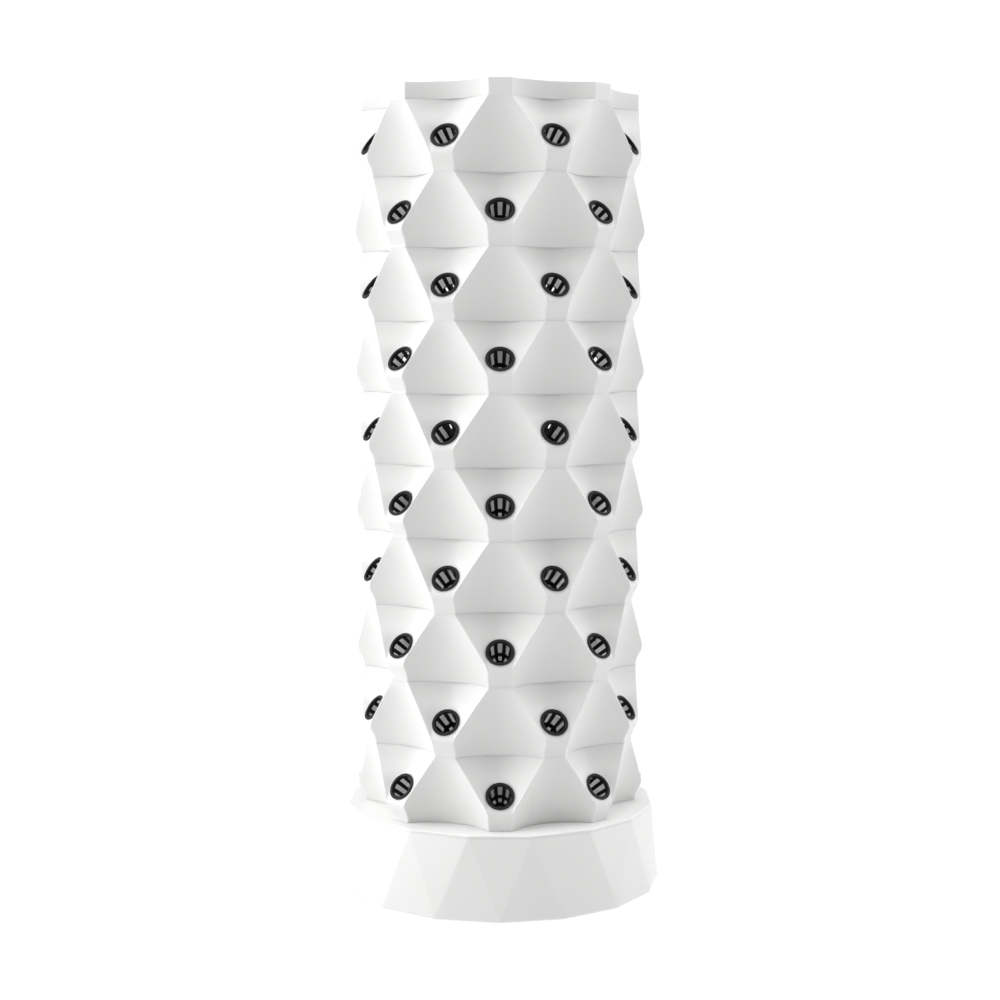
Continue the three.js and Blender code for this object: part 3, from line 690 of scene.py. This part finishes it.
# %% One segment of a cup
def cup_segment():
    half = math.pi / CUP_SLOTS
    inside = np.linspace(-SLOT_HALF_ANGLE, SLOT_HALF_ANGLE, 5)
    between = (SLOT_HALF_ANGLE + half) / 2
    angles = np.concatenate([[-half, -between], inside, [between, half]])
    rows = []
    # A row is (outer radius, outer height, inner radius, inner height, whether a slot is here).
    base_top = CUP_WALL - CUP_DEPTH
    for radius in BASE_RADII:
        rows.append((radius, -CUP_DEPTH, radius, base_top, radius > BASE_SLOT_START))
    foot_inner = CUP_FOOT_RADIUS - CUP_WALL
    rows.append((CUP_FOOT_RADIUS - FOOT_CHAMFER, -CUP_DEPTH, foot_inner, base_top, True))
    rows.append((CUP_FOOT_RADIUS, FOOT_ROUNDING - CUP_DEPTH, foot_inner + FOOT_LEAN,
                 base_top + FOOT_ROUNDING, True))
    for height in WALL_HEIGHTS:
        radius = cup_radius(height)
        is_slot = SLOT_BOTTOM < height < SLOT_TOP
        rows.append((radius, height, radius - CUP_WALL, height, is_slot))
    mouth = CUP_NECK_RADIUS - CUP_WALL
    rows.append((CUP_NECK_RADIUS, 0, mouth, 0, False))
    rim = [
        (CUP_RIM_RADIUS - RIM_CHAMFER, 0), (CUP_RIM_RADIUS, RIM_CHAMFER),
        (CUP_RIM_RADIUS, CUP_RIM - RIM_ROUNDING), (CUP_RIM_RADIUS - RIM_ROUNDING, CUP_RIM),
        (mouth + MOUTH_ROUNDING, CUP_RIM), (mouth, CUP_RIM - MOUTH_ROUNDING),
    ]
    profile = [(row[0], row[1]) for row in rows] + rim + [(row[2], row[3]) for row in rows[::-1]]
    count = len(angles)
    points = [(radius * math.sin(angle), radius * math.cos(angle), height)
              for radius, height in profile for angle in angles]
    last = len(rows) - 1
    total = len(profile)

    def is_open(row, column):
        return 0 <= row < last and rows[row][4] and column in SLOT_COLUMNS

    def corner(row, column, inner):
        return ((total - 1 - row) if inner else row) * count + column

    faces = []
    for row in range(total):
        after = (row + 1) % total
        for column in range(count - 1):
            # Going back up the inside, the rows come in the opposite order.
            if is_open(row, column) or is_open(total - 2 - row, column):
                continue
            faces.append((row * count + column, after * count + column,
                          after * count + column + 1, row * count + column + 1))
    for row in range(last):
        for column in range(count - 1):
            if not is_open(row, column):
                continue
            sides = [
                ((row, column), (row, column + 1), is_open(row - 1, column)),
                ((row + 1, column), (row + 1, column + 1), is_open(row + 1, column)),
                ((row, column), (row + 1, column), is_open(row, column - 1)),
                ((row, column + 1), (row + 1, column + 1), is_open(row, column + 1)),
            ]
            for first, second, shared in sides:
                if not shared:
                    faces.append((corner(*first, False), corner(*second, False),
                                  corner(*second, True), corner(*first, True)))
    return mesh_object("cup_segment", points, faces)


segment = cup_segment()
basket = face_outwards(copies_of(segment, "net_cup", "black_cup", CUP_SLOTS))
smooth(basket)
bpy.data.objects.remove(segment)
print("triangles in one cup:", sum(len(face.vertices) - 2 for face in basket.data.polygons))

# %% [markdown]
# ## Cups in their pockets
# A cup sits square to its pocket. It is leant over and moved out to the pocket once, and then
# the same tree turns copies of it round the column. Two rings have cups that can be drawn out
# here, each on a body of its own, so those are made one at a time.

# %% Set the cups in the rings
SEAT_LIFT = SEAT_GAP / math.cos(POCKET_TILT)
seated = basket.data.copy()
seated.transform(Matrix.Translation((0, CUP_REACH + SEAT_LIFT, -CUP_DROP))
                 @ Matrix.Rotation(POCKET_TILT - math.pi / 2, 4, "X"))
seated_cup = bpy.data.objects.new("seated_cup", seated)
bpy.context.scene.collection.objects.link(seated_cup)
bpy.data.objects.remove(basket)

loose_rings = sorted({int(name.split("_")[1]) for name in nodes if name.startswith("cup_")})
for number in range(1, RING_COUNT + 1):
    turn = ring_turn(number)
    if number not in loose_rings:
        cups = copies_of(seated_cup, f"cups_{number:02d}", "black_cup", POCKETS,
                         turn, ring_top(number))
        smooth(cups)
        hand_over(cups, "tower", "black_cup")
        continue
    for i in range(POCKETS):
        node_name = f"cup_{number:02d}_{i + 1}"
        cup = copies_of(seated_cup, f"{node_name}_fine", "black_cup", 1,
                        math.pi + turn + i * 2 * HALF_PERIOD, ring_top(number))
        smooth(cup)
        hand_over(cup, node_name, "black_cup", node_name)
bpy.data.objects.remove(seated_cup)
print("rings whose cups can be drawn out:", loose_rings)

# %% [markdown]
# ## The cover
# The cover is a shallow lid with the same eightfold plan as the column. Its flats lie over the
# bays' flats, and between them its skirt is hollow like a bay and draws in further at its foot,
# so the top ring's pockets seem to run on into it. One segment is lofted with a small rounding
# at its top edge. Four tabs hold it.

# %% Cover
COVER_SEAT = COLUMN_TOP + SEAT_GAP
COVER_HEIGHT = 25.2 * MM
COVER_WALL = 3 * MM
COVER_FLAT_REACH = 218.2 * MM
COVER_TOP_FLAT_HALF = 17.5 * MM
COVER_TOP_FLOOR = 191 * MM
COVER_FOOT_FLAT_HALF = 17.1 * MM
COVER_FOOT_FLOOR = 182 * MM
COVER_EDGE = 0.6 * MM
COVER_FOOT_DROP = SEAT_GAP - SEAM_GAP
# The top closes on a tiny copy of the outline, so that every loop has the same count of points.
CENTRE_SHARE = 1e-4
TAB_COUNT = 4
TAB_HALF_WIDTH = 9 * MM
TAB_REACH = 212.2 * MM
TAB_WALL = 2.6 * MM
TAB_LENGTH = 8 * MM
TAB_ROOT_REACH = 216.7 * MM
TAB_ROOT_FOOT = 5.4 * MM


def cover_half(flat_half, floor_reach):
    end = turned_by(-HALF_PERIOD, [[-flat_half, COVER_FLAT_REACH]])[0]
    end = np.array([abs(end[0]), end[1]])
    share = np.linspace(0, 1, FINE_POINTS)
    across = share * end[0]
    dish = np.column_stack([across, hollow_reach(across, end[0], floor_reach, end[1])])
    middle = turned_by(-HALF_PERIOD, [[0, COVER_FLAT_REACH]])[0]
    flat = end + (middle - end) * share[:, None]
    return joined_at_ridge(dish, flat)


def cover_loops():
    outline = whole_period(cover_half(COVER_TOP_FLAT_HALF, COVER_TOP_FLOOR))
    foot = whole_period(cover_half(COVER_FOOT_FLAT_HALF, COVER_FOOT_FLOOR))
    centre = outline * CENTRE_SHARE
    loops = [at_depth(centre, -COVER_HEIGHT)]
    loops += rounded_edge(outline, COVER_EDGE, -COVER_HEIGHT)
    for share in np.linspace(0.08, 0.92, 8):
        between = outline + (foot - outline) * share
        loops.append(at_depth(between, -COVER_HEIGHT * (1 - share)))
    loops.append(at_depth(foot, COVER_FOOT_DROP - EDGE_BREAK))
    loops.append(at_depth(drawn_in(foot, EDGE_BREAK), COVER_FOOT_DROP))
    loops.append(at_depth(drawn_in(foot, COVER_WALL), COVER_FOOT_DROP))
    loops.append(at_depth(drawn_in(outline, COVER_WALL), COVER_WALL - COVER_HEIGHT))
    loops.append(at_depth(centre, COVER_WALL - COVER_HEIGHT))
    return loops


BLOCK_FACES = [(0, 2, 3, 1), (4, 5, 7, 6), (0, 1, 5, 4), (2, 6, 7, 3), (0, 4, 6, 2), (1, 3, 7, 5)]


def add_block(points, faces, x_range, y_range, z_range):
    """Adds the eight corners and six faces of a block."""
    start = len(points)
    points += [(x, y, z) for z in z_range for y in y_range for x in x_range]
    faces += [[start + corner for corner in face] for face in BLOCK_FACES]


cover_segment = open_ends(loft_wedge("cover_segment", cover_loops()), HALF_PERIOD)
cover = copies_of(cover_segment, "cover_shell", "white_shell", POCKETS, ring_turn(1), COVER_SEAT)
bpy.data.objects.remove(cover_segment)

tab_points, tab_faces = [], []
tab_inner = TAB_REACH - TAB_WALL
for reach, foot in ((TAB_REACH, -TAB_LENGTH), (TAB_ROOT_REACH, TAB_ROOT_FOOT)):
    add_block(tab_points, tab_faces, (-TAB_HALF_WIDTH, TAB_HALF_WIDTH), (tab_inner, reach),
              (foot, TAB_LENGTH))
tab = mesh_object("cover_tab", tab_points, tab_faces)
tabs = copies_of(tab, "cover_tabs", "white_shell", TAB_COUNT, HALF_PERIOD + ring_turn(1),
                 COVER_SEAT)
bpy.data.objects.remove(tab)

for piece in (cover, tabs):
    smooth(piece)
hand_over(cover, "cover", "white_shell", "top_cover")
hand_over(tabs, "cover", "white_shell")
print("cover faces:", len(cover.data.polygons))

# %% [markdown]
# ## The tank
# The tank is a low drum with sixteen sides that flares towards the floor. Its rim is turned by
# half a side against its foot, so the wall is a belt of triangles that point up and down in
# turn, and the light steps softly from one to the next. The flat faces are laid out directly,
# and a Bevel modifier rounds every edge a little, as the mould does.

# %% Tank
TANK_SIDES = 16
TANK_FOOT_RADIUS = 257 * MM
TANK_RIM_RADIUS = 247.4 * MM
TANK_HEIGHT = 126.7 * MM
TANK_WALL = 4.3 * MM
TANK_FLOOR = 4 * MM
TANK_EDGE = 3 * MM
TANK_ROUNDING = 1.5 * MM
TANK_LEAST_BEND = math.radians(5)
TANK_SHARP_ANGLE = math.radians(60)


def tank_ring(radius, height, offset):
    angles = offset + np.arange(TANK_SIDES) * 2 * math.pi / TANK_SIDES
    return [spot_at(angle, radius, height) for angle in angles]


def tank_mesh():
    half = math.pi / TANK_SIDES
    points = (tank_ring(TANK_FOOT_RADIUS - TANK_EDGE, 0, 0)
              + tank_ring(TANK_FOOT_RADIUS, TANK_EDGE, 0)
              + tank_ring(TANK_RIM_RADIUS, TANK_HEIGHT, half)
              + tank_ring(TANK_RIM_RADIUS - TANK_WALL, TANK_HEIGHT, half)
              + tank_ring(TANK_FOOT_RADIUS - TANK_WALL, TANK_FLOOR, 0))
    n = TANK_SIDES
    faces = [list(range(n))[::-1], list(range(4 * n, 5 * n))]
    for i in range(n):
        j = (i + 1) % n
        faces.append((i, j, n + j, n + i))
        faces.append((n + i, n + j, 2 * n + i))
        faces.append((n + j, 2 * n + j, 2 * n + i))
        faces.append((2 * n + i, 2 * n + j, 3 * n + j, 3 * n + i))
        faces.append((3 * n + i, 3 * n + j, 4 * n + j))
        faces.append((3 * n + i, 4 * n + j, 4 * n + i))
    return points, faces


tank = face_outwards(mesh_object("tank_rough", *tank_mesh()))
rounding = tank.modifiers.new("rounding", "BEVEL")
rounding.width = TANK_ROUNDING
rounding.segments = 3
rounding.limit_method = "ANGLE"
rounding.angle_limit = TANK_LEAST_BEND
tank = smooth(take_result(tank, "tank_fine"), TANK_SHARP_ANGLE)
hand_over(tank, "tower", "white_shell", "tank")
print("tank faces:", len(tank.data.polygons))

# %% [markdown]
# ## The deck
# The deck is the plate that closes the tank and carries the column. Its outer edge has the
# tank's sixteen sides and its opening has the column's eightfold outline, so one segment of an
# eighth of a turn repeats for both. The edge is rounded, because it catches a thin bright line.

# %% Deck
DECK_TOP = 130.7 * MM
DECK_THICKNESS = 4 * MM
DECK_EDGE = 1.6 * MM
LIP_INSET = 5 * MM
LIP_LENGTH = 10 * MM
LIP_WALL = 3 * MM
GROMMET_REACH = 212 * MM
GROMMET_HOLE_RADIUS = 8.4 * MM
GROMMET_CUT_LENGTH = 20 * MM


def side_outline(radius, count):
    """The tank's outline over one period, with points on its corners."""
    half_side = math.pi / TANK_SIDES
    marks = [0, count // 4, count // 2, count - 1 - count // 4, count - 1]
    angles = np.interp(np.arange(count), marks, np.array([-2, -1, 0, 1, 2]) * half_side)
    from_middle = np.abs(angles) - np.where(np.abs(angles) > half_side, 2 * half_side, 0)
    reach = radius * math.cos(half_side) / np.cos(from_middle)
    return np.column_stack([reach * np.sin(angles), reach * np.cos(angles)])


def deck_loops():
    opening = drawn_in(period_below(), RING_WALL)
    outline = side_outline(TANK_RIM_RADIUS, len(opening))
    loops = [at_depth(opening, 0)] + rounded_edge(outline, DECK_EDGE, 0)
    loops.append(at_depth(outline, DECK_THICKNESS))
    lip = drawn_in(outline, LIP_INSET)
    lip_inner = drawn_in(lip, LIP_WALL)
    loops.append(at_depth(lip, DECK_THICKNESS))
    loops.append(at_depth(lip, DECK_THICKNESS + LIP_LENGTH))
    loops.append(at_depth(lip_inner, DECK_THICKNESS + LIP_LENGTH))
    loops.append(at_depth(lip_inner, DECK_THICKNESS))
    loops.append(at_depth(opening, DECK_THICKNESS))
    return loops


deck_segment = open_ends(loft_wedge("deck_segment", deck_loops()), HALF_PERIOD)
deck = copies_of(deck_segment, "deck_whole", "white_shell", POCKETS, 0.0, DECK_TOP)
bpy.data.objects.remove(deck_segment)
grommet_place = spot_at(HALF_PERIOD, GROMMET_REACH, DECK_TOP)
deck = cut_round_hole(deck, GROMMET_HOLE_RADIUS, GROMMET_CUT_LENGTH,
                      Matrix.Translation(grommet_place))
deck.name = "deck_fine"
smooth(deck)
hand_over(deck, "tower", "white_shell", "tank_deck")
print("deck faces:", len(deck.data.polygons))

# %% [markdown]
# ## Round pieces
# The pipes, sleeves, spray head, tray, adapter, grommet and the pump's feet are all turned
# forms: a profile swept round an axis. Each profile is a closed run of (radius, height) pairs,
# so the piece comes out with its walls and its bore.

# %% Turn a profile
def turned_piece(name, profile, place=(0, 0, 0), steps=64):
    """Sweeps a closed run of (radius, height) pairs round a vertical axis."""
    angles = np.arange(steps) * 2 * math.pi / steps
    points = [(place[0] + r * math.cos(a), place[1] + r * math.sin(a), place[2] + z)
              for r, z in profile for a in angles]
    faces = []
    for i in range(len(profile)):
        j = (i + 1) % len(profile)
        for k in range(steps):
            n = (k + 1) % steps
            faces.append((i * steps + k, i * steps + n, j * steps + n, j * steps + k))
    return smooth(face_outwards(mesh_object(name, points, faces)))


def tube_profile(inner, outer, bottom, top, edge=0.5 * MM):
    return [(inner, bottom), (outer - edge, bottom), (outer, bottom + edge), (outer, top - edge),
            (outer - edge, top), (inner, top)]


# %% Riser pipe and its sleeves
PIPE_RADIUS = 16 * MM
PIPE_WALL = 3 * MM
PIPE_BORE = PIPE_RADIUS - PIPE_WALL
SLEEVE_BORE = PIPE_RADIUS + SEAT_GAP
SLEEVE_RADIUS = SLEEVE_BORE + 3 * MM
SLEEVE_CHAMFER = 1 * MM
for name in ("riser_lower", "riser_middle", "riser_upper"):
    low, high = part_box(name)
    pipe = turned_piece(f"{name}_fine", tube_profile(PIPE_BORE, PIPE_RADIUS, low.z, high.z))
    hand_over(pipe, "tower", "grey_pipe", name)
for name in ("riser_coupling_lower", "riser_coupling_upper"):
    low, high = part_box(name)
    profile = tube_profile(SLEEVE_BORE, SLEEVE_RADIUS, low.z, high.z, SLEEVE_CHAMFER)
    sleeve = turned_piece(f"{name}_fine", profile)
    hand_over(sleeve, "tower", "grey_pipe", name)

# %% Drip tray
TRAY_HEIGHT = COLUMN_TOP + SEAT_GAP
TRAY_RADIUS = 168.4 * MM
TRAY_RIM_RADIUS = 172 * MM
TRAY_FOOT = -14 * MM
TRAY_COLLAR_TOP = -7.6 * MM
TRAY_WALL = 2.4 * MM
TRAY_CHAMFER = 1 * MM
TRAY_ROUNDING = 0.6 * MM
TRAY_HOLE_REACH = 150 * MM
TRAY_HOLE_RADIUS = 4 * MM
TRAY_HOLE_CUT = 8 * MM
tray_inner = TRAY_RADIUS - TRAY_WALL
tray_floor = TRAY_FOOT + TRAY_WALL
tray = turned_piece("tray_whole", [
    (SLEEVE_BORE, TRAY_FOOT), (TRAY_RADIUS - TRAY_CHAMFER, TRAY_FOOT),
    (TRAY_RADIUS, TRAY_FOOT + TRAY_CHAMFER), (TRAY_RADIUS, 0), (TRAY_RIM_RADIUS, 0),
    (TRAY_RIM_RADIUS, TRAY_WALL - TRAY_ROUNDING), (TRAY_RIM_RADIUS - TRAY_ROUNDING, TRAY_WALL),
    (tray_inner + TRAY_ROUNDING, TRAY_WALL), (tray_inner, TRAY_WALL - TRAY_ROUNDING),
    (tray_inner, tray_floor + TRAY_CHAMFER), (tray_inner - TRAY_CHAMFER, tray_floor),
    (SLEEVE_RADIUS, tray_floor), (SLEEVE_RADIUS, TRAY_COLLAR_TOP), (SLEEVE_BORE, TRAY_COLLAR_TOP),
], (0, 0, TRAY_HEIGHT), 128)
for i in range(POCKETS):
    spot = spot_at(ring_turn(1) + i * 2 * HALF_PERIOD, TRAY_HOLE_REACH,
                   TRAY_HEIGHT + TRAY_FOOT + TRAY_WALL / 2)
    tray = cut_round_hole(tray, TRAY_HOLE_RADIUS, TRAY_HOLE_CUT, Matrix.Translation(spot), 32)
tray.name = "drip_tray_fine"
smooth(tray)
hand_over(tray, "tower", "white_shell", "drip_tray")

# %% Spray head
HEAD_WALL = 3 * MM
HEAD_ROUNDING = 0.6 * MM
HEAD_CHAMBER_RADIUS = 12 * MM
HEAD_SOCKET_DEPTH = 10.3 * MM
HEAD_JET_HEIGHT = 17.5 * MM
HEAD_JET_RADIUS = 2.6 * MM
HEAD_JET_CUT = 60 * MM
HEAD_AXIS_RADIUS = 0.5 * MM
low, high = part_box("spray_head")
socket_top = low.z + HEAD_SOCKET_DEPTH
head = turned_piece("head_whole", [
    (SLEEVE_BORE, low.z), (SLEEVE_RADIUS - HEAD_ROUNDING, low.z),
    (SLEEVE_RADIUS, low.z + HEAD_ROUNDING), (SLEEVE_RADIUS, high.z - HEAD_WALL),
    (SLEEVE_RADIUS - HEAD_WALL, high.z), (HEAD_AXIS_RADIUS, high.z),
    (HEAD_AXIS_RADIUS, high.z - HEAD_WALL), (HEAD_CHAMBER_RADIUS, high.z - HEAD_WALL),
    (HEAD_CHAMBER_RADIUS, socket_top), (SLEEVE_BORE, socket_top),
])
for i in range(3):
    across = (Matrix.Translation((0, 0, low.z + HEAD_JET_HEIGHT))
              @ Matrix.Rotation(i * math.pi / 3, 4, "Z") @ Matrix.Rotation(math.pi / 2, 4, "X"))
    head = cut_round_hole(head, HEAD_JET_RADIUS, HEAD_JET_CUT, across, 24)
head.name = "spray_head_fine"
smooth(head)
hand_over(head, "tower", "grey_pipe", "spray_head")

# %% Adapter, grommet and the pump's feet
NOZZLE_BORE = 11 * MM + SEAT_GAP
ADAPTER_WALL = 3 * MM
ADAPTER_PASSAGE = 7 * MM
ADAPTER_SOCKET = 22 * MM
low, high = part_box("pump_adapter")
nozzle_end = low.z + ADAPTER_SOCKET + SEAT_GAP
pipe_end = high.z - ADAPTER_SOCKET
adapter = turned_piece("pump_adapter_fine", [
    (NOZZLE_BORE, low.z), (NOZZLE_BORE + ADAPTER_WALL, low.z),
    (SLEEVE_RADIUS, low.z + ADAPTER_SOCKET), (SLEEVE_RADIUS, high.z), (SLEEVE_BORE, high.z),
    (SLEEVE_BORE, pipe_end), (ADAPTER_PASSAGE, pipe_end), (ADAPTER_PASSAGE, nozzle_end),
    (NOZZLE_BORE, nozzle_end),
])
hand_over(adapter, "tower", "grey_pipe", "pump_adapter")

# The grommet and the feet are small outlines of their own, in (radius, height) pairs.
grommet = turned_piece("cable_grommet_fine", [
    (3.5 * MM, -6.3 * MM), (10 * MM, -6.3 * MM), (11 * MM, -5.3 * MM), (11 * MM, -4.3 * MM),
    (8 * MM, -4.3 * MM), (8 * MM, 0.3 * MM), (11 * MM, 0.3 * MM), (11 * MM, 1.3 * MM),
    (10 * MM, 2.3 * MM), (4.2 * MM, 2.3 * MM), (3.5 * MM, 1.6 * MM),
], grommet_place, 48)
hand_over(grommet, "tower", "black_rubber", "cable_grommet")

for i in range(1, 5):
    low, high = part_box(f"pump_foot_{i}")
    centre = ((low.x + high.x) / 2, (low.y + high.y) / 2, low.z)
    foot = turned_piece(f"pump_foot_{i}_fine", [
        (0.2 * MM, 2 * MM), (8 * MM, 0), (9.6 * MM, 0), (9.8 * MM, 0.5 * MM), (7.4 * MM, 2.2 * MM),
        (4 * MM, 4 * MM), (4 * MM, high.z - low.z), (0.2 * MM, high.z - low.z),
    ], centre, 40)
    hand_over(foot, "tower", "black_rubber", f"pump_foot_{i}")

# %% [markdown]
# ## The studio
# The photograph is high key: the background is pure white, and so is most of the tower's left
# side. The grey is deepest just right of the middle, and the right edge brightens again. That is
# what large white panels at the sides and overhead give, the left ones stronger, over a white
# floor that lights the tower from below. Their strengths were found by trying each panel alone
# and fitting the mix to the greys of the bays, the pockets and the tank. Each panel is a soft
# lobe of the world: the cosine of the angle from its middle, raised to a power.

# %% World made of soft panels
PANEL_POWER = 6
PANELS = [
    # azimuth from the front towards the right, elevation, strength
    (-150, 5, 0.6),
    (-90, 5, 3.76),
    (-60, 5, 1.08),
    (90, 5, 2.25),
    (150, 5, 0.6),
    (-60, 45, 0.74),
    (120, 45, 1.0),
    (0, 90, 2.97),
]

world = bpy.data.worlds.new("studio_world")
world.use_nodes = True
bpy.context.scene.world = world
sky = world.node_tree
direction = sky.nodes.new("ShaderNodeTexCoord").outputs["Generated"]


def sky_math(operation, first, second):
    node = sky.nodes.new("ShaderNodeMath")
    node.operation = operation
    for socket, value in zip(node.inputs, (first, second)):
        if isinstance(value, (int, float)):
            socket.default_value = value
        else:
            sky.links.new(value, socket)
    return node.outputs["Value"]


def panel(aim, power, strength):
    facing = sky.nodes.new("ShaderNodeVectorMath")
    facing.operation = "DOT_PRODUCT"
    sky.links.new(direction, facing.inputs[0])
    facing.inputs[1].default_value = aim
    share = sky_math("MAXIMUM", facing.outputs["Value"], 0.0)
    return sky_math("MULTIPLY", sky_math("POWER", share, power), strength)


def aim_of(azimuth, elevation):
    turn, rise = math.radians(azimuth), math.radians(elevation)
    return (math.sin(turn) * math.cos(rise), -math.cos(turn) * math.cos(rise), math.sin(rise))


light = 0.0
for azimuth, elevation, strength in PANELS:
    light = sky_math("ADD", light, panel(aim_of(azimuth, elevation), PANEL_POWER, strength))
background = sky.nodes["Background"]
background.inputs["Color"].default_value = (1, 1, 1, 1)
sky.links.new(light, background.inputs["Strength"])

# %% [markdown]
# In the photograph the inside of the column is lit: the slots of the cups show a light grey, not
# black. So a row of small round lights stands on the axis, one in each ring. They are soft, too
# weak to show through the white walls, and hidden from the camera.

# %% Lamps inside the column
LAMP_WATTS = 0.2
LAMP_RADIUS = 45 * MM
for number in range(1, RING_COUNT + 1):
    lamp_data = bpy.data.lights.new(f"inside_lamp_{number:02d}", "POINT")
    lamp_data.energy = LAMP_WATTS
    lamp_data.shadow_soft_size = LAMP_RADIUS
    lamp = bpy.data.objects.new(lamp_data.name, lamp_data)
    lamp.location = (0, 0, ring_top(number) - RING_PITCH / 2)
    lamp.visible_camera = False
    lamp.visible_glossy = False
    bpy.context.scene.collection.objects.link(lamp)

# %% [markdown]
# The floor glows evenly, so the tower throws no shadow on it, just as in the photograph. The
# Standard view keeps its white pure.

# %% Floor
FLOOR_HALF = 60
FLOOR_GREY = 0.05
FLOOR_GLOW = 0.97
floor = mesh_object("studio_floor", [
    (-FLOOR_HALF, -FLOOR_HALF, 0), (FLOOR_HALF, -FLOOR_HALF, 0),
    (FLOOR_HALF, FLOOR_HALF, 0), (-FLOOR_HALF, FLOOR_HALF, 0),
], [(0, 1, 2, 3)])
floor_finish = bpy.data.materials.new("pale_floor")
floor_finish.use_nodes = True
floor_shader = floor_finish.node_tree.nodes["Principled BSDF"]
floor_shader.inputs["Base Color"].default_value = (FLOOR_GREY, FLOOR_GREY, FLOOR_GREY, 1)
floor_shader.inputs["Roughness"].default_value = 0.8
floor_shader.inputs["Specular IOR Level"].default_value = 0.0
floor_shader.inputs["Emission Color"].default_value = (1, 1, 1, 1)
floor_shader.inputs["Emission Strength"].default_value = FLOOR_GLOW
floor.data.materials.append(floor_finish)
bpy.context.scene.view_settings.view_transform = "Standard"

# %% [markdown]
# ## The backdrop
# A white wall stands far off all round, so that the background is white from every side. Only
# the camera sees it, so it adds no light of its own and the tower's far side isn't washed out.

# %% Backdrop
BACKDROP_REACH = 55
BACKDROP_HEIGHT = 30
BACKDROP_SIDES = 48
BACKDROP_GLOW = 1.05
backdrop_points, backdrop_faces = [], []
for i in range(BACKDROP_SIDES):
    turn = 2 * math.pi * i / BACKDROP_SIDES
    x, y = BACKDROP_REACH * math.cos(turn), BACKDROP_REACH * math.sin(turn)
    backdrop_points += [(x, y, 0), (x, y, BACKDROP_HEIGHT)]
    following = 2 * ((i + 1) % BACKDROP_SIDES)
    backdrop_faces.append((2 * i, 2 * i + 1, following + 1, following))
backdrop = mesh_object("studio_backdrop", backdrop_points, backdrop_faces)
backdrop_finish = floor_finish.copy()
backdrop_finish.name = "white_backdrop"
backdrop_shader = backdrop_finish.node_tree.nodes["Principled BSDF"]
backdrop_shader.inputs["Emission Strength"].default_value = BACKDROP_GLOW
backdrop.data.materials.append(backdrop_finish)
backdrop.visible_diffuse = False
backdrop.visible_glossy = False
backdrop.visible_transmission = False
backdrop.visible_shadow = False
